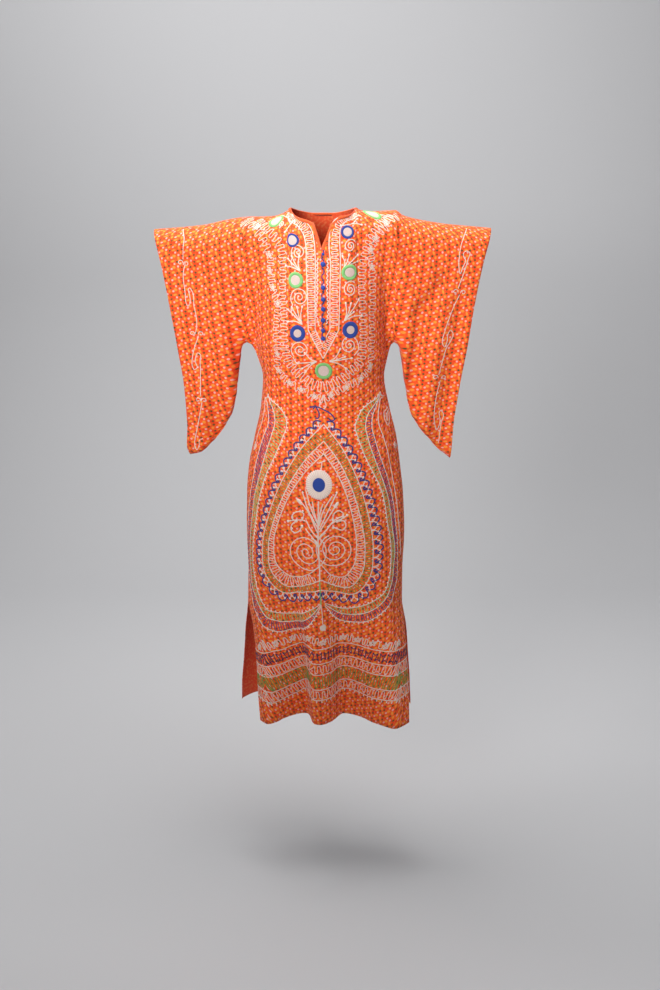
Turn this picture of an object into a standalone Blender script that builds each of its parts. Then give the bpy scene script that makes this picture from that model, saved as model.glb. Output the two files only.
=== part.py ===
"""A long cotton kaftan in its worn, hollow form, held at the neck and shoulders.

Metres, +Z up, the front faces -Y and the viewer's right is +X. The origin is on the neck's axis,
level with the two neck points. The front and the back are cut like a T, each sleeve in one with
its panel, and meet at the shoulder, over-sleeve, under-sleeve and side seams.
"""

import math

import bmesh
import bpy
import numpy as np
from mathutils import Vector
from mathutils.bvhtree import BVHTree

WALL = 0.0018  # the cotton and its embroidery
HALF_SEAM = 0.00015  # each panel stops this far from the seam plane
LIFT = 0.0010  # what lies on a panel starts this far above it, and so bridges its tighter turns
KNOT_LIFT = 0.0004  # a knot starts this far above the binding
UNDERARM_Z = -0.295
SLIT_TOP_Z = -0.905  # the side seams end here, and the skirt is open below
HEM_Z = -1.200
FOLD_START_Z = -0.62  # the skirt's folds grow from here down to the hem

COLUMNS = 14  # from the centre line to the armhole, on each side
NECK_COLUMN = 5  # the column that ends at the neck point
YOKE_ROWS = 12
SLIT_ROW = 10  # the yoke row where the front slit ends
SLEEVE_COLUMNS = 9
SKIRT_ROWS = 30
FIRST_ROWS_CLOSE = 1.25  # skirt rows start close together under the arm, and widen downwards

# The two side seams and, below the slits' tops, the panels' free edges
SIDES = {
    "z": (-0.295, -0.301, -0.335, -0.370, -0.440, -0.510, -0.582, -0.655, -0.754, -0.829,
          -0.905, -0.983, -1.062, -1.142, -1.200),
    "front_left": (-0.174, -0.163, -0.148, -0.139, -0.1445, -0.160, -0.175, -0.181, -0.183,
                   -0.181, -0.183, -0.171, -0.163, -0.159, -0.154),
    "front_right": (0.161, 0.154, 0.145, 0.139, 0.1515, 0.169, 0.1795, 0.188, 0.192, 0.189,
                    0.189, 0.197, 0.202, 0.206, 0.206),
    "back_left": (-0.174, -0.163, -0.148, -0.139, -0.1445, -0.160, -0.175, -0.181, -0.183,
                  -0.181, -0.183, -0.191, -0.198, -0.205, -0.208),
    "back_right": (0.161, 0.154, 0.145, 0.139, 0.1515, 0.169, 0.1795, 0.188, 0.192, 0.189,
                   0.189, 0.201, 0.208, 0.214, 0.217),
}

# How far the cloth stands before and behind the seams' plane, at its middle
DEPTHS = {
    "z": (0.0, -0.06, -0.12, -0.20, -0.295, -0.37, -0.44, -0.52, -0.60, -0.68, -0.80, -0.95,
          -1.20),
    "front": (0.078, 0.090, 0.108, 0.124, 0.121, 0.108, 0.106, 0.110, 0.113, 0.112, 0.107,
              0.098, 0.080),
    "back": (0.060, 0.080, 0.098, 0.106, 0.096, 0.087, 0.091, 0.105, 0.118, 0.120, 0.112,
             0.100, 0.086),
}

# How far a panel's free edges stand off the seams' plane at the hem
EDGE_OUT = {"front": (0.074, 0.085), "back": (0.046, 0.017)}
EDGE_GROWTH = 1.15

# Shoulder and over-sleeve line, from the neck point to the cuff
TOP_LINE = {
    "x": (0.0713, 0.090, 0.108, 0.141, 0.159, 0.176, 0.214, 0.267, 0.320, 0.374),
    "left_z": (0.0, -0.011, -0.0165, -0.018, -0.018, -0.019, -0.025, -0.036, -0.041, -0.045),
    "right_z": (0.0, -0.0055, -0.0065, -0.005, -0.004, -0.015, -0.0245, -0.033, -0.038, -0.0425),
}

# The neckline's columns, from the centre line out to the neck point: how far out, forward and down
FRONT_NECK = {
    "left_x": (-0.0193, -0.0345, -0.0519, -0.0640, -0.0698, -0.0713),
    "right_x": (0.0171, 0.0344, 0.0516, 0.0632, 0.0690, 0.0703),
    "out": (0.082, 0.079, 0.066, 0.043, 0.021, 0.0),
    "left_z": (-0.0320, -0.0255, -0.0210, -0.0140, -0.0065, 0.0),
    "right_z": (-0.0338, -0.0185, -0.0155, -0.0115, -0.0055, 0.0),
}
BACK_NECK = {
    "left_x": (-0.001, -0.0250, -0.0450, -0.0600, -0.0686, -0.0713),
    "right_x": (-0.001, 0.0240, 0.0440, 0.0590, 0.0676, 0.0703),
    "out": (0.060, 0.056, 0.046, 0.031, 0.015, 0.0),
    "left_z": (-0.012, -0.0105, -0.0075, -0.004, -0.001, 0.0),
    "right_z": (-0.012, -0.0105, -0.0075, -0.004, -0.001, 0.0),
}

# The front opening: a V that narrows to a closed slit under the buttons
OPENING = {
    "z": (-0.0320, -0.060, -0.087, -0.180, -0.278),
    "left_x": (-0.0193, -0.0105, -0.0038, -0.0021, -0.0003),
    "right_x": (0.0171, 0.0070, -0.0030, -0.0015, -0.0003),
}

# Under-sleeve seams from the underarm to the sleeve's tip, and the cuffs from top to tip
UNDER_SLEEVE = {
    "left_x": (-0.174, -0.184, -0.189, -0.199, -0.207, -0.2145, -0.229, -0.246, -0.2676,
               -0.290, -0.312),
    "left_z": (-0.295, -0.301, -0.324, -0.393, -0.440, -0.463, -0.487, -0.510, -0.534,
               -0.551, -0.556),
    "right_x": (0.161, 0.170, 0.177, 0.1876, 0.1977, 0.2051, 0.2195, 0.2386, 0.2602, 0.279,
                0.2945),
    "right_z": (-0.295, -0.301, -0.324, -0.393, -0.440, -0.463, -0.487, -0.510, -0.534,
                -0.551, -0.563),
}
CUFF = {
    "left_x": (-0.3735, -0.357, -0.343, -0.330, -0.3185, -0.3155, -0.3180, -0.312),
    "left_z": (-0.045, -0.123, -0.211, -0.301, -0.393, -0.487, -0.534, -0.556),
    "right_x": (0.371, 0.352, 0.337, 0.325, 0.310, 0.299, 0.297, 0.2945),
    "right_z": (-0.0425, -0.123, -0.211, -0.301, -0.393, -0.487, -0.534, -0.563),
}
# Across the body at the underarm: how much of the half width the torso takes, and how full the
# cloth beside it still is, where it runs out thin to the underarm point
TORSO_SHARE = {
    "z": (-0.295, -0.301, -0.335, -0.36, -1.2),
    "share": (0.885, 0.925, 0.985, 1.0, 1.0),
    "gusset": (1.0, 0.95, 0.3, 0.0, 0.0),
}
SHOULDER_ROUND = 0.055  # over the shoulder the cloth turns on this radius
CHEST_POWER = 2.3  # how flat the chest is across before it falls away to the armholes
BY_THE_SLIT = 0.25  # how far the columns beside the opening lean with its edge
ARMHOLE_ROUND, ARM_ROUND = 0.060, 0.042  # half the sleeve's depth at the armhole and at the cuff
HANG_GAP = 0.012  # half the gap between the sleeve's two layers near the under-sleeve seam
SLEEVE_POWER = (0.7, 0.9)  # how the sleeve's depth grows above its seam, at the armhole and cuff
SEAM_ROUND = 0.010

# The skirt's folds at the hem: where across the panel, from -1 to 1, and how far out or in
FRONT_FOLDS = {
    "across": (-1.0, -0.89, -0.69, -0.40, -0.345, -0.285, -0.19, -0.05, 0.13, 0.40, 0.60,
               0.80, 0.92, 1.0),
    "out": (0.0, 0.018, -0.015, -0.044, -0.038, 0.014, 0.020, 0.003, -0.044, -0.019, 0.017,
            0.038, 0.020, 0.0),
}
BACK_FOLDS = {
    "across": (-1.0, -0.80, -0.55, -0.28, -0.02, 0.25, 0.50, 0.78, 1.0),
    "out": (0.0, 0.022, -0.018, 0.020, -0.024, 0.018, -0.020, 0.016, 0.0),
}
FOLD_GROWTH = 1.6

# Both layers of a hanging sleeve sway together: where along the sleeve, and how far forward
SLEEVE_SWAY = {
    "along": (0.0, 0.25, 0.50, 0.72, 0.88, 1.0),
    "left": (0.0, -0.006, 0.010, -0.010, 0.007, -0.004),
    "right": (0.0, 0.008, -0.010, 0.009, -0.008, 0.005),
}

BINDING_WIDTH, BINDING_THICK, BINDING_INSET = 0.008, 0.0010, 0.0005

# Buttons: height of each centre, and its radius
BUTTONS = {
    "z": (-0.097, -0.118, -0.166, -0.190, -0.210, -0.2335, -0.2555, -0.2725),
    "radius": (0.0032, 0.0056, 0.0051, 0.0050, 0.0049, 0.0051, 0.0046, 0.0050),
}
BUTTON_FLATNESS = 0.62
SLIT_CLEAR = 0.002  # this far from the slit's middle a line from ahead meets cloth

# Embroidered rounds on the yoke: name, across, height, radius and thread colour
ROUNDS = (
    ("round_shoulder_left", -0.1010, -0.0270, 0.0155, "green"),
    ("round_shoulder_right", 0.1060, -0.0125, 0.0150, "green"),
    ("round_collar_left", -0.0665, -0.0670, 0.0160, "blue"),
    ("round_collar_right", 0.0530, -0.0500, 0.0160, "blue"),
    ("round_chest_left", -0.0595, -0.1500, 0.0165, "green"),
    ("round_chest_right", 0.0580, -0.1340, 0.0165, "green"),
    ("round_bust_left", -0.0555, -0.2630, 0.0165, "blue"),
    ("round_bust_right", 0.0595, -0.2560, 0.0165, "blue"),
    ("round_point", 0.0010, -0.3450, 0.0180, "green"),
)
# From a round's middle to its edge: share of the radius, and thickness
ROUND_PROFILE = ((0.0, 0.0009), (0.4, 0.0009), (0.66, 0.0009), (0.8, 0.0017), (1.0, 0.0017))
FEATHER_EYE = {"x": -0.0090, "z": -0.6020, "radius_x": 0.0300, "radius_z": 0.0345}
EYE_PROFILE = ((0.0, 0.0010), (0.35, 0.0010), (0.7, 0.0010), (1.0, 0.0010))
CAST_FROM = 0.05  # a disc's points are cast onto the cloth from this far out
FACING_REACH = {"disc": 0.3, "knot": 0.006}  # a share of the disc's radius, and a distance

MATERIALS = {
    "printed cotton": ((0.86, 0.085, 0.018), 0.85),
    "orange binding": ((0.84, 0.12, 0.03), 0.85),
    "blue thread": ((0.02, 0.045, 0.30), 0.55),
    "green thread": ((0.22, 0.50, 0.16), 0.55),
    "white thread": ((0.88, 0.76, 0.70), 0.55),
}


def material(name):
    colour, roughness = MATERIALS[name]
    made = bpy.data.materials.get(name)
    if made is None:
        made = bpy.data.materials.new(name)
        made.use_nodes = True
        shader = made.node_tree.nodes["Principled BSDF"]
        shader.inputs["Base Color"].default_value = (*colour, 1.0)
        shader.inputs["Roughness"].default_value = roughness
        shader.inputs["Metallic"].default_value = 0.0
    return made


def smooth_curve(places, values, at):
    """A soft curve through a table's rows, with no overshoot between them."""
    places, values = np.asarray(places, float), np.asarray(values, float)
    if places[0] > places[-1]:
        places, values = places[::-1], values[::-1]
    steps = np.diff(places)
    slopes = np.diff(values) / steps
    tangents = np.empty(len(values))
    tangents[0], tangents[-1] = slopes[0], slopes[-1]
    same_way = slopes[:-1] * slopes[1:] > 0
    total = np.where(same_way, slopes[:-1] + slopes[1:], 1.0)
    tangents[1:-1] = np.where(same_way, 2 * slopes[:-1] * slopes[1:] / total, 0.0)
    at = min(max(at, places[0]), places[-1])
    i = min(int(np.searchsorted(places, at, side="right")) - 1, len(steps) - 1)
    q = (at - places[i]) / steps[i]
    return (
        values[i] * (1 + 2 * q) * (1 - q) ** 2
        + values[i + 1] * q * q * (3 - 2 * q)
        + steps[i] * (tangents[i] * q * (1 - q) ** 2 - tangents[i + 1] * q * q * (1 - q))
    )


def read(table, place, column, at):
    return smooth_curve(table[place], table[column], at)


def along(table, side, share):
    """The point (x, z) at this share of the length of a table's line."""
    xs, zs = np.array(table[side + "_x"]), np.array(table[side + "_z"])
    lengths = np.concatenate([[0.0], np.cumsum(np.hypot(np.diff(xs), np.diff(zs)))])
    at = share * lengths[-1]
    return np.array([smooth_curve(lengths, xs, at), smooth_curve(lengths, zs, at)])


def arch(distance, radius):
    """0 on a seam, and 1 once the cloth has turned through a quarter round of this radius."""
    q = min(distance / radius, 1.0)
    return math.sqrt(q * (2 - q))


def row_share(row):
    """Rows lie close together at both seams, where the cloth turns."""
    return 0.5 * (1 - math.cos(math.pi * row / YOKE_ROWS))


def top_z(side, x):
    return read(TOP_LINE, "x", side + "_z", abs(x))


def sleeve_depth(share, above_seam, length):
    """Half the depth of the hanging sleeve, without its turns over the arm and at the seam."""
    widest = ARMHOLE_ROUND + (ARM_ROUND - ARMHOLE_ROUND) * share
    power = SLEEVE_POWER[0] + (SLEEVE_POWER[1] - SLEEVE_POWER[0]) * share
    return HANG_GAP + (widest - HANG_GAP) * (max(above_seam, 0.0) / length) ** power


def armhole_x(side):
    return SIDES["front_" + side][0]


def skirt_middle(panel, z):
    left, right = (read(SIDES, "z", f"{panel}_{side}", z) for side in ("left", "right"))
    return 0.5 * (left + right), 0.5 * (right - left)


def torso_round(q, z):
    """How far out the torso's front or back stands here, as a share of its depth at the middle."""
    return max(0.0, 1 - (q / read(TORSO_SHARE, "z", "share", z)) ** 2) ** 0.5


def joined(depth, thin):
    """The torso's cloth run softly into the thin cloth beside it."""
    return (depth**3 + thin**3) ** (1 / 3)


def top_row(panel, side, column):
    """A yoke column's upper end: (x, out, z), on the neckline or on the shoulder seam."""
    neck = FRONT_NECK if panel == "front" else BACK_NECK
    if column <= NECK_COLUMN:
        return neck[side + "_x"][column], neck["out"][column], neck[side + "_z"][column]
    share = (column - NECK_COLUMN) / (COLUMNS - NECK_COLUMN)
    spread = math.sin(share * math.pi / 2)
    start = neck[side + "_x"][NECK_COLUMN]
    x = start + (armhole_x(side) - start) * spread
    return x, 0.0, top_z(side, x)


def yoke_point(panel, side, column, row):
    """A point between the shoulders and the underarm, as (x, out, z)."""
    share = row_share(row)
    x_top, out_top, z_top = top_row(panel, side, column)
    angle = 0.5 * math.pi * column / COLUMNS
    middle, half = skirt_middle(panel, UNDERARM_Z)
    x_low = middle + math.copysign(half * math.sin(angle), armhole_x(side))
    z = z_top + (UNDERARM_Z - z_top) * share
    x = x_top + (x_low - x_top) * share
    if panel == "front" and column == 0 and row <= SLIT_ROW:
        x = read(OPENING, "z", side + "_x", z)
    elif column == 0:
        x = x_low
    elif panel == "front" and column < 3:
        centre = read(OPENING, "z", side + "_x", z)
        lean = BY_THE_SLIT * (centre - FRONT_NECK[side + "_x"][0]) / column
        x += lean * (1 - share)
    q = abs(math.sin(angle))
    seam_length = abs(UNDERARM_Z - top_z(side, armhole_x(side)))
    above = (1 - share) * seam_length
    edge = sleeve_depth(0.0, above, seam_length)
    edge *= arch(math.hypot(above, (1 - q) * half), SEAM_ROUND)
    full = read(DEPTHS, "z", panel, z)
    chest = edge + (full - edge) * (1 - q**CHEST_POWER) ** 2
    low = share * share * (3 - 2 * share)
    depth = chest + (joined(full * torso_round(q, UNDERARM_Z), edge) - chest) * low
    neckness = max(0.0, 1 - column / NECK_COLUMN)
    turned = arch(z_top - z, SHOULDER_ROUND) ** (1 + neckness)
    return x, out_top + (depth - out_top) * turned, z


def sleeve_point(side, column, row):
    """A point of a sleeve as (x, out, z, sway), on a patch between its four edges."""
    s, t = column / SLEEVE_COLUMNS, row_share(row)
    start, tip = armhole_x(side), along(CUFF, side, 1.0)
    over_x = start + (along(CUFF, side, 0.0)[0] - start) * s
    over = np.array([over_x, top_z(side, over_x)])
    under = along(UNDER_SLEEVE, side, s)
    cuff = along(CUFF, side, t)
    armhole_top, armhole_low = np.array([start, top_z(side, start)]), np.array([start, UNDERARM_Z])
    armhole = armhole_top + (armhole_low - armhole_top) * t
    corners = (
        (1 - s) * (1 - t) * armhole_top
        + (1 - s) * t * armhole_low
        + s * (1 - t) * along(CUFF, side, 0.0)
        + s * t * tip
    )
    x, z = (1 - t) * over + t * under + (1 - s) * armhole + s * cuff - corners
    length = float(np.hypot(*(over - under)))
    above = (1 - t) * length
    depth = sleeve_depth(s, above, length) * arch(above, SEAM_ROUND)
    turn = SHOULDER_ROUND + (ARM_ROUND - SHOULDER_ROUND) * s
    sway = read(SLEEVE_SWAY, "along", side, s) * t * math.sqrt(t)
    return x, depth * arch(t * length, turn), z, sway


def skirt_row_z(row):
    return UNDERARM_Z + (HEM_Z - UNDERARM_Z) * (row / SKIRT_ROWS) ** FIRST_ROWS_CLOSE


def skirt_point(panel, side, column, row):
    """A point below the underarm, as (x, out, z)."""
    z = skirt_row_z(row)
    angle = math.copysign(0.5 * math.pi * column / COLUMNS, armhole_x(side))
    middle, half = skirt_middle(panel, z)
    x = middle + half * math.sin(angle)
    open_share = max(0.0, (SLIT_TOP_Z - z) / (SLIT_TOP_Z - HEM_Z))
    edge = EDGE_OUT[panel][side == "right"] * open_share**EDGE_GROWTH
    q = abs(math.sin(angle))
    gusset = HANG_GAP * arch((1 - q) * half, SEAM_ROUND) * read(TORSO_SHARE, "z", "gusset", z)
    depth = joined(edge + (read(DEPTHS, "z", panel, z) - edge) * torso_round(q, z), gusset)
    folds = FRONT_FOLDS if panel == "front" else BACK_FOLDS
    fold_share = max(0.0, (FOLD_START_Z - z) / (FOLD_START_Z - HEM_Z)) ** FOLD_GROWTH
    return x, depth + read(folds, "across", "out", math.sin(angle)) * fold_share, z


class Panel:
    """One T-shaped panel: its outer points by name, and its faces wound to point outwards."""

    def __init__(self, name):
        self.name = name
        self.turn = -1 if name == "front" else 1
        self.points, self.index, self.faces, self.seam = [], {}, [], set()
        self.lay_points()
        self.lay_faces()

    def add(self, key, x, out, z, sway=0.0, on_seam=False):
        self.index[key] = len(self.points)
        if on_seam:
            self.seam.add(len(self.points))
            out = HALF_SEAM
        self.points.append((x, self.turn * out - sway, z))

    def lay_points(self):
        for side in ("left", "right"):
            for row in range(YOKE_ROWS + 1):
                for column in range(COLUMNS + 1):
                    on_seam = row == 0 and column >= NECK_COLUMN
                    on_seam = on_seam or (row == YOKE_ROWS and column == COLUMNS)
                    point = yoke_point(self.name, side, column, row)
                    self.add(("yoke", side, row, column), *point, on_seam=on_seam)
            for row in range(1, SKIRT_ROWS + 1):
                for column in range(COLUMNS + 1):
                    on_seam = column == COLUMNS and skirt_row_z(row) > SLIT_TOP_Z
                    point = skirt_point(self.name, side, column, row)
                    self.add(("skirt", side, row, column), *point, on_seam=on_seam)
            for row in range(YOKE_ROWS + 1):
                for column in range(1, SLEEVE_COLUMNS + 1):
                    on_seam = row in (0, YOKE_ROWS)
                    point = sleeve_point(side, column, row)
                    self.add(("sleeve", side, row, column), *point, on_seam=on_seam)

    def at(self, block, side, row, column):
        """A point's number. Blocks share their edges, and below the slit so do the two sides."""
        if block == "sleeve" and column == 0:
            block, column = "yoke", COLUMNS
        if block == "skirt" and row == 0:
            block, row = "yoke", YOKE_ROWS
        slit = self.name == "front" and block == "yoke" and row < SLIT_ROW
        if column == 0 and block != "sleeve" and not slit:
            side = "left"
        return self.index[(block, side, row, column)]

    def lay_faces(self):
        blocks = (("yoke", YOKE_ROWS, COLUMNS), ("skirt", SKIRT_ROWS, COLUMNS),
                  ("sleeve", YOKE_ROWS, SLEEVE_COLUMNS))
        for side in ("left", "right"):
            for block, rows, columns in blocks:
                for row in range(rows):
                    for column in range(columns):
                        corners = [self.at(block, side, row, column),
                                   self.at(block, side, row + 1, column),
                                   self.at(block, side, row + 1, column + 1),
                                   self.at(block, side, row, column + 1)]
                        if (side == "left") == (self.name == "front"):
                            corners.reverse()
                        self.faces.append(corners)

    def normals(self):
        points = np.array(self.points)
        found = np.zeros_like(points)
        for a, b, c, d in self.faces:
            found[[a, b, c, d]] += np.cross(points[c] - points[a], points[d] - points[b])
        for i in self.seam:
            found[i][1] = 0.0
        lengths = np.linalg.norm(found, axis=1)
        lengths[lengths == 0] = 1.0
        return found / lengths[:, None]


def make_object(name, points, faces, finish):
    mesh = bpy.data.meshes.new(name)
    mesh.from_pydata([tuple(map(float, p)) for p in points], [], faces)
    body = bmesh.new()
    body.from_mesh(mesh)
    loose = [v for v in body.verts if not v.link_faces]
    bmesh.ops.delete(body, geom=loose, context="VERTS")
    body.to_mesh(mesh)
    body.free()
    mesh.shade_smooth()
    mesh.materials.append(material(finish))
    made = bpy.data.objects.new(name, mesh)
    bpy.context.scene.collection.objects.link(made)
    return made


def wall(panel):
    """The panel as a closed wall: outer face, inner face and the rim round every edge."""
    outer, normals = np.array(panel.points), panel.normals()
    inner = outer - WALL * normals
    count = len(outer)
    faces = [list(f) for f in panel.faces]
    inside = [[i + count for i in reversed(f)] for f in panel.faces]
    edges = {}
    for face in panel.faces:
        for a, b in zip(face, face[1:] + face[:1]):
            if (b, a) in edges:
                del edges[(b, a)]
            else:
                edges[(a, b)] = True
    rim = [[b, a, a + count, b + count] for a, b in edges]
    points = np.concatenate([outer, inner])
    return make_object(panel.name, points, faces + inside + rim, "printed cotton")


def outer_tree(*panels):
    points, triangles = [], []
    for panel in panels:
        first = len(points)
        points += [Vector(p) for p in panel.points]
        for a, b, c, d in panel.faces:
            triangles += [(first + a, first + b, first + c), (first + a, first + c, first + d)]
    return BVHTree.FromPolygons(points, triangles)


def on_front(tree, x, z):
    """Where a line from straight ahead meets the front panel, and the way that it faces."""
    hit, normal, _, _ = tree.ray_cast(Vector((x, -1.0, z)), Vector((0.0, 1.0, 0.0)))
    if hit is None:
        return None, None
    return hit, (-normal if normal.y > 0 else normal)


def facing(tree, x, z, reach):
    """The mean way that the front faces round a place."""
    total = Vector((0.0, 0.0, 0.0))
    for dx, dz in ((0, 0), (reach, 0), (-reach, 0), (0, reach), (0, -reach)):
        hit, normal = on_front(tree, x + dx, z + dz)
        if hit is not None:
            total += normal
    return total.normalized()


def raised_disc(name, tree, place, radii, profile, finish, spokes=18):
    """A thin disc that follows the front panel. profile gives (share of radius, thickness)."""
    out = facing(tree, *place, FACING_REACH["disc"] * min(radii))
    middle = on_front(tree, *place)[0]
    over = Vector((0.0, 0.0, 1.0)).cross(out).normalized()
    up = out.cross(over)
    low, high, faces = [], [], []
    for share, thick in profile:
        for spoke in range(spokes if share else 1):
            turn = 2 * math.pi * spoke / spokes
            flat = middle + share * radii[0] * math.cos(turn) * over
            flat += share * radii[1] * math.sin(turn) * up
            base = tree.ray_cast(flat + CAST_FROM * out, -out)[0] + LIFT * out
            low.append(base)
            high.append(base + thick * out)
    count = len(low)

    def ring(i):
        return [1 + (i - 1) * spokes + k for k in range(spokes)]

    for i in range(1, len(profile)):
        for k in range(spokes):
            a, b = ring(i)[k], ring(i)[(k + 1) % spokes]
            inner = [0] if i == 1 else [ring(i - 1)[(k + 1) % spokes], ring(i - 1)[k]]
            top = [a, b, *inner]
            faces.append([n + count for n in top])
            faces.append(top[::-1])
    last = ring(len(profile) - 1)
    for k in range(spokes):
        a, b = last[k], last[(k + 1) % spokes]
        faces.append([a, b, b + count, a + count])
    return make_object(name, low + high, faces, finish)


def knot_button(name, tree, z, radius):
    """A round knot of thread that closes the slit, lying on the binding."""
    x = 0.5 * (read(OPENING, "z", "left_x", z) + read(OPENING, "z", "right_x", z))
    out = facing(tree, x, z, FACING_REACH["knot"])
    foot = on_front(tree, x + SLIT_CLEAR, z)[0]
    foot.x = x
    up = LIFT + BINDING_THICK + KNOT_LIFT + BUTTON_FLATNESS * radius
    made = bpy.data.meshes.new(name)
    body = bmesh.new()
    bmesh.ops.create_uvsphere(body, u_segments=10, v_segments=6, radius=radius)
    flat = Vector((1.0, 1.0, BUTTON_FLATNESS))
    bmesh.ops.scale(body, vec=flat, verts=body.verts)
    body.to_mesh(made)
    body.free()
    made.shade_smooth()
    made.materials.append(material("blue thread"))
    knot = bpy.data.objects.new(name, made)
    knot.location = foot + up * out
    knot.rotation_mode = "QUATERNION"
    knot.rotation_quaternion = out.to_track_quat("Z", "Y")
    bpy.context.scene.collection.objects.link(knot)
    return knot


def walk(points, distance):
    """The point this far along a line of points."""
    for a, b in zip(points, points[1:]):
        step = np.linalg.norm(b - a)
        if distance <= step:
            return a + (b - a) * distance / step
        distance -= step
    return points[-1]


def binding_stations(front, back):
    """Edge and inner points of the neck's binding, from one end of the slit round to the other."""
    stations = []

    def line(panel, side, keys):
        return [np.array(panel.points[panel.at("yoke", side, r, c)]) for r, c in keys]

    def station(points):
        stations.append((walk(points, BINDING_INSET), walk(points, BINDING_WIDTH)))

    def turn(panel, side, column, step, shares):
        """Round a corner the strip fans out between the panel's rows and its columns."""
        down = line(panel, side, [(r, column) for r in range(4)])
        over = line(panel, side, [(0, column), (0, column + step), (0, column + 2 * step)])
        for share in shares:
            angle = share * math.pi / 2
            mix = [
                down[0] + math.cos(angle) * (walk(down, far) - down[0])
                + math.sin(angle) * (walk(over, far) - down[0])
                for far in (BINDING_INSET, BINDING_WIDTH)
            ]
            stations.append(tuple(mix))

    def slit(side, rows):
        for row in rows:
            station(line(front, side, [(row, c) for c in range(4)]))

    def neckline(panel, side, columns):
        for column in columns:
            station(line(panel, side, [(r, column) for r in range(5)]))

    slit("right", range(SLIT_ROW, 1, -1))
    turn(front, "right", 0, 1, (1.0, 0.5, 0.0))
    neckline(front, "right", range(1, NECK_COLUMN))
    turn(front, "right", NECK_COLUMN, 1, (0.0, 0.5, 1.0))
    turn(back, "right", NECK_COLUMN, 1, (0.5, 0.0))
    neckline(back, "right", range(NECK_COLUMN - 1, -1, -1))
    neckline(back, "left", range(1, NECK_COLUMN))
    turn(back, "left", NECK_COLUMN, 1, (0.0, 0.5))
    turn(front, "left", NECK_COLUMN, 1, (1.0, 0.5, 0.0))
    neckline(front, "left", range(NECK_COLUMN - 1, 0, -1))
    turn(front, "left", 0, 1, (0.0, 0.5, 1.0))
    slit("left", range(2, SLIT_ROW + 1))
    return stations


def neck_binding(front, back):
    tree = outer_tree(front, back)
    points, faces = [], []
    stations = np.array(binding_stations(front, back))
    between = 0.5 * (stations[1:] + stations[:-1])
    doubled = [pair for two in zip(stations, between) for pair in two] + [stations[-1]]
    for station in doubled:
        seats, ways = [], []
        for place in station:
            seat = tree.find_nearest(Vector(place))[0]
            near = tree.find_nearest_range(seat, BINDING_WIDTH / 2)
            seats.append(seat)
            ways.append(sum((normal for _, normal, _, _ in near), Vector()).normalized())
        for height in (LIFT, LIFT + BINDING_THICK):
            points += [seat + height * way for seat, way in zip(seats, ways)]
    count = len(points) // 4
    for k in range(count - 1):
        a, b = 4 * k, 4 * (k + 1)
        for i, j in ((0, 1), (1, 3), (3, 2), (2, 0)):
            faces.append([a + i, b + i, b + j, a + j])
    faces.append([0, 1, 3, 2])
    last = 4 * (count - 1)
    faces.append([last, last + 2, last + 3, last + 1])
    return make_object("neck_binding", points, faces, "orange binding")


def main():
    for old in list(bpy.data.objects):
        bpy.data.objects.remove(old)
    front, back = Panel("front"), Panel("back")
    wall(front)
    wall(back)
    neck_binding(front, back)
    tree = outer_tree(front)
    for number, (z, radius) in enumerate(zip(BUTTONS["z"], BUTTONS["radius"]), 1):
        knot_button(f"button_{number}", tree, z, radius)
    for name, x, z, radius, colour in ROUNDS:
        raised_disc(name, tree, (x, z), (radius, radius), ROUND_PROFILE, colour + " thread")
    eye = FEATHER_EYE
    radii = (eye["radius_x"], eye["radius_z"])
    raised_disc("feather_eye", tree, (eye["x"], eye["z"]), radii, EYE_PROFILE, "white thread")


main()
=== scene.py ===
"""The looks of a long printed cotton kaftan with chain-stitch embroidery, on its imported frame.

Metres, +Z up, the front faces -Y. The cloth is made on the same tables as its solids, on a finer
grid, with its creases. The embroidery is drawn in the flat cloth's own coordinates and laid on it.
"""

import math

import bmesh
import bpy
import numpy as np
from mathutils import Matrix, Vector, noise
from mathutils.bvhtree import BVHTree


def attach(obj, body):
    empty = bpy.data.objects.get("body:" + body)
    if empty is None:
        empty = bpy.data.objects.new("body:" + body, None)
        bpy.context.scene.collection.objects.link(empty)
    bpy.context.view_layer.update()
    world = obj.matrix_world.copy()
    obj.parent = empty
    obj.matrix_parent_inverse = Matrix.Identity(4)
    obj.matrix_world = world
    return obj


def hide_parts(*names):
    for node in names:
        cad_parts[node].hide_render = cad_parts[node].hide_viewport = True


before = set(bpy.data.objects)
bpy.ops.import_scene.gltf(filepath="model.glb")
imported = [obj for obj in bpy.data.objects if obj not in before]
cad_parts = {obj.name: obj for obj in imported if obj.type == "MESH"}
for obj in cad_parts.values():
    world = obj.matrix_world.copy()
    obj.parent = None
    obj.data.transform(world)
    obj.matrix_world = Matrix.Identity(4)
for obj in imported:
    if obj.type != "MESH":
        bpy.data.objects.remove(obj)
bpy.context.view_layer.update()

# The cloth's sizes, as its solids have them
HALF_SEAM = 0.00015
UNDERARM_Z = -0.295
SLIT_TOP_Z = -0.905
HEM_Z = -1.200
FOLD_START_Z = -0.62
COLUMNS, NECK_COLUMN = 14, 5
YOKE_ROWS, SLIT_ROW = 12, 10
SLEEVE_COLUMNS = 9
SKIRT_ROWS = 30
FIRST_ROWS_CLOSE = 1.25
FINER = 4  # fine rows and columns for each of the table's
CLOTH = 0.0011  # how thick the shell is

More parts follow.
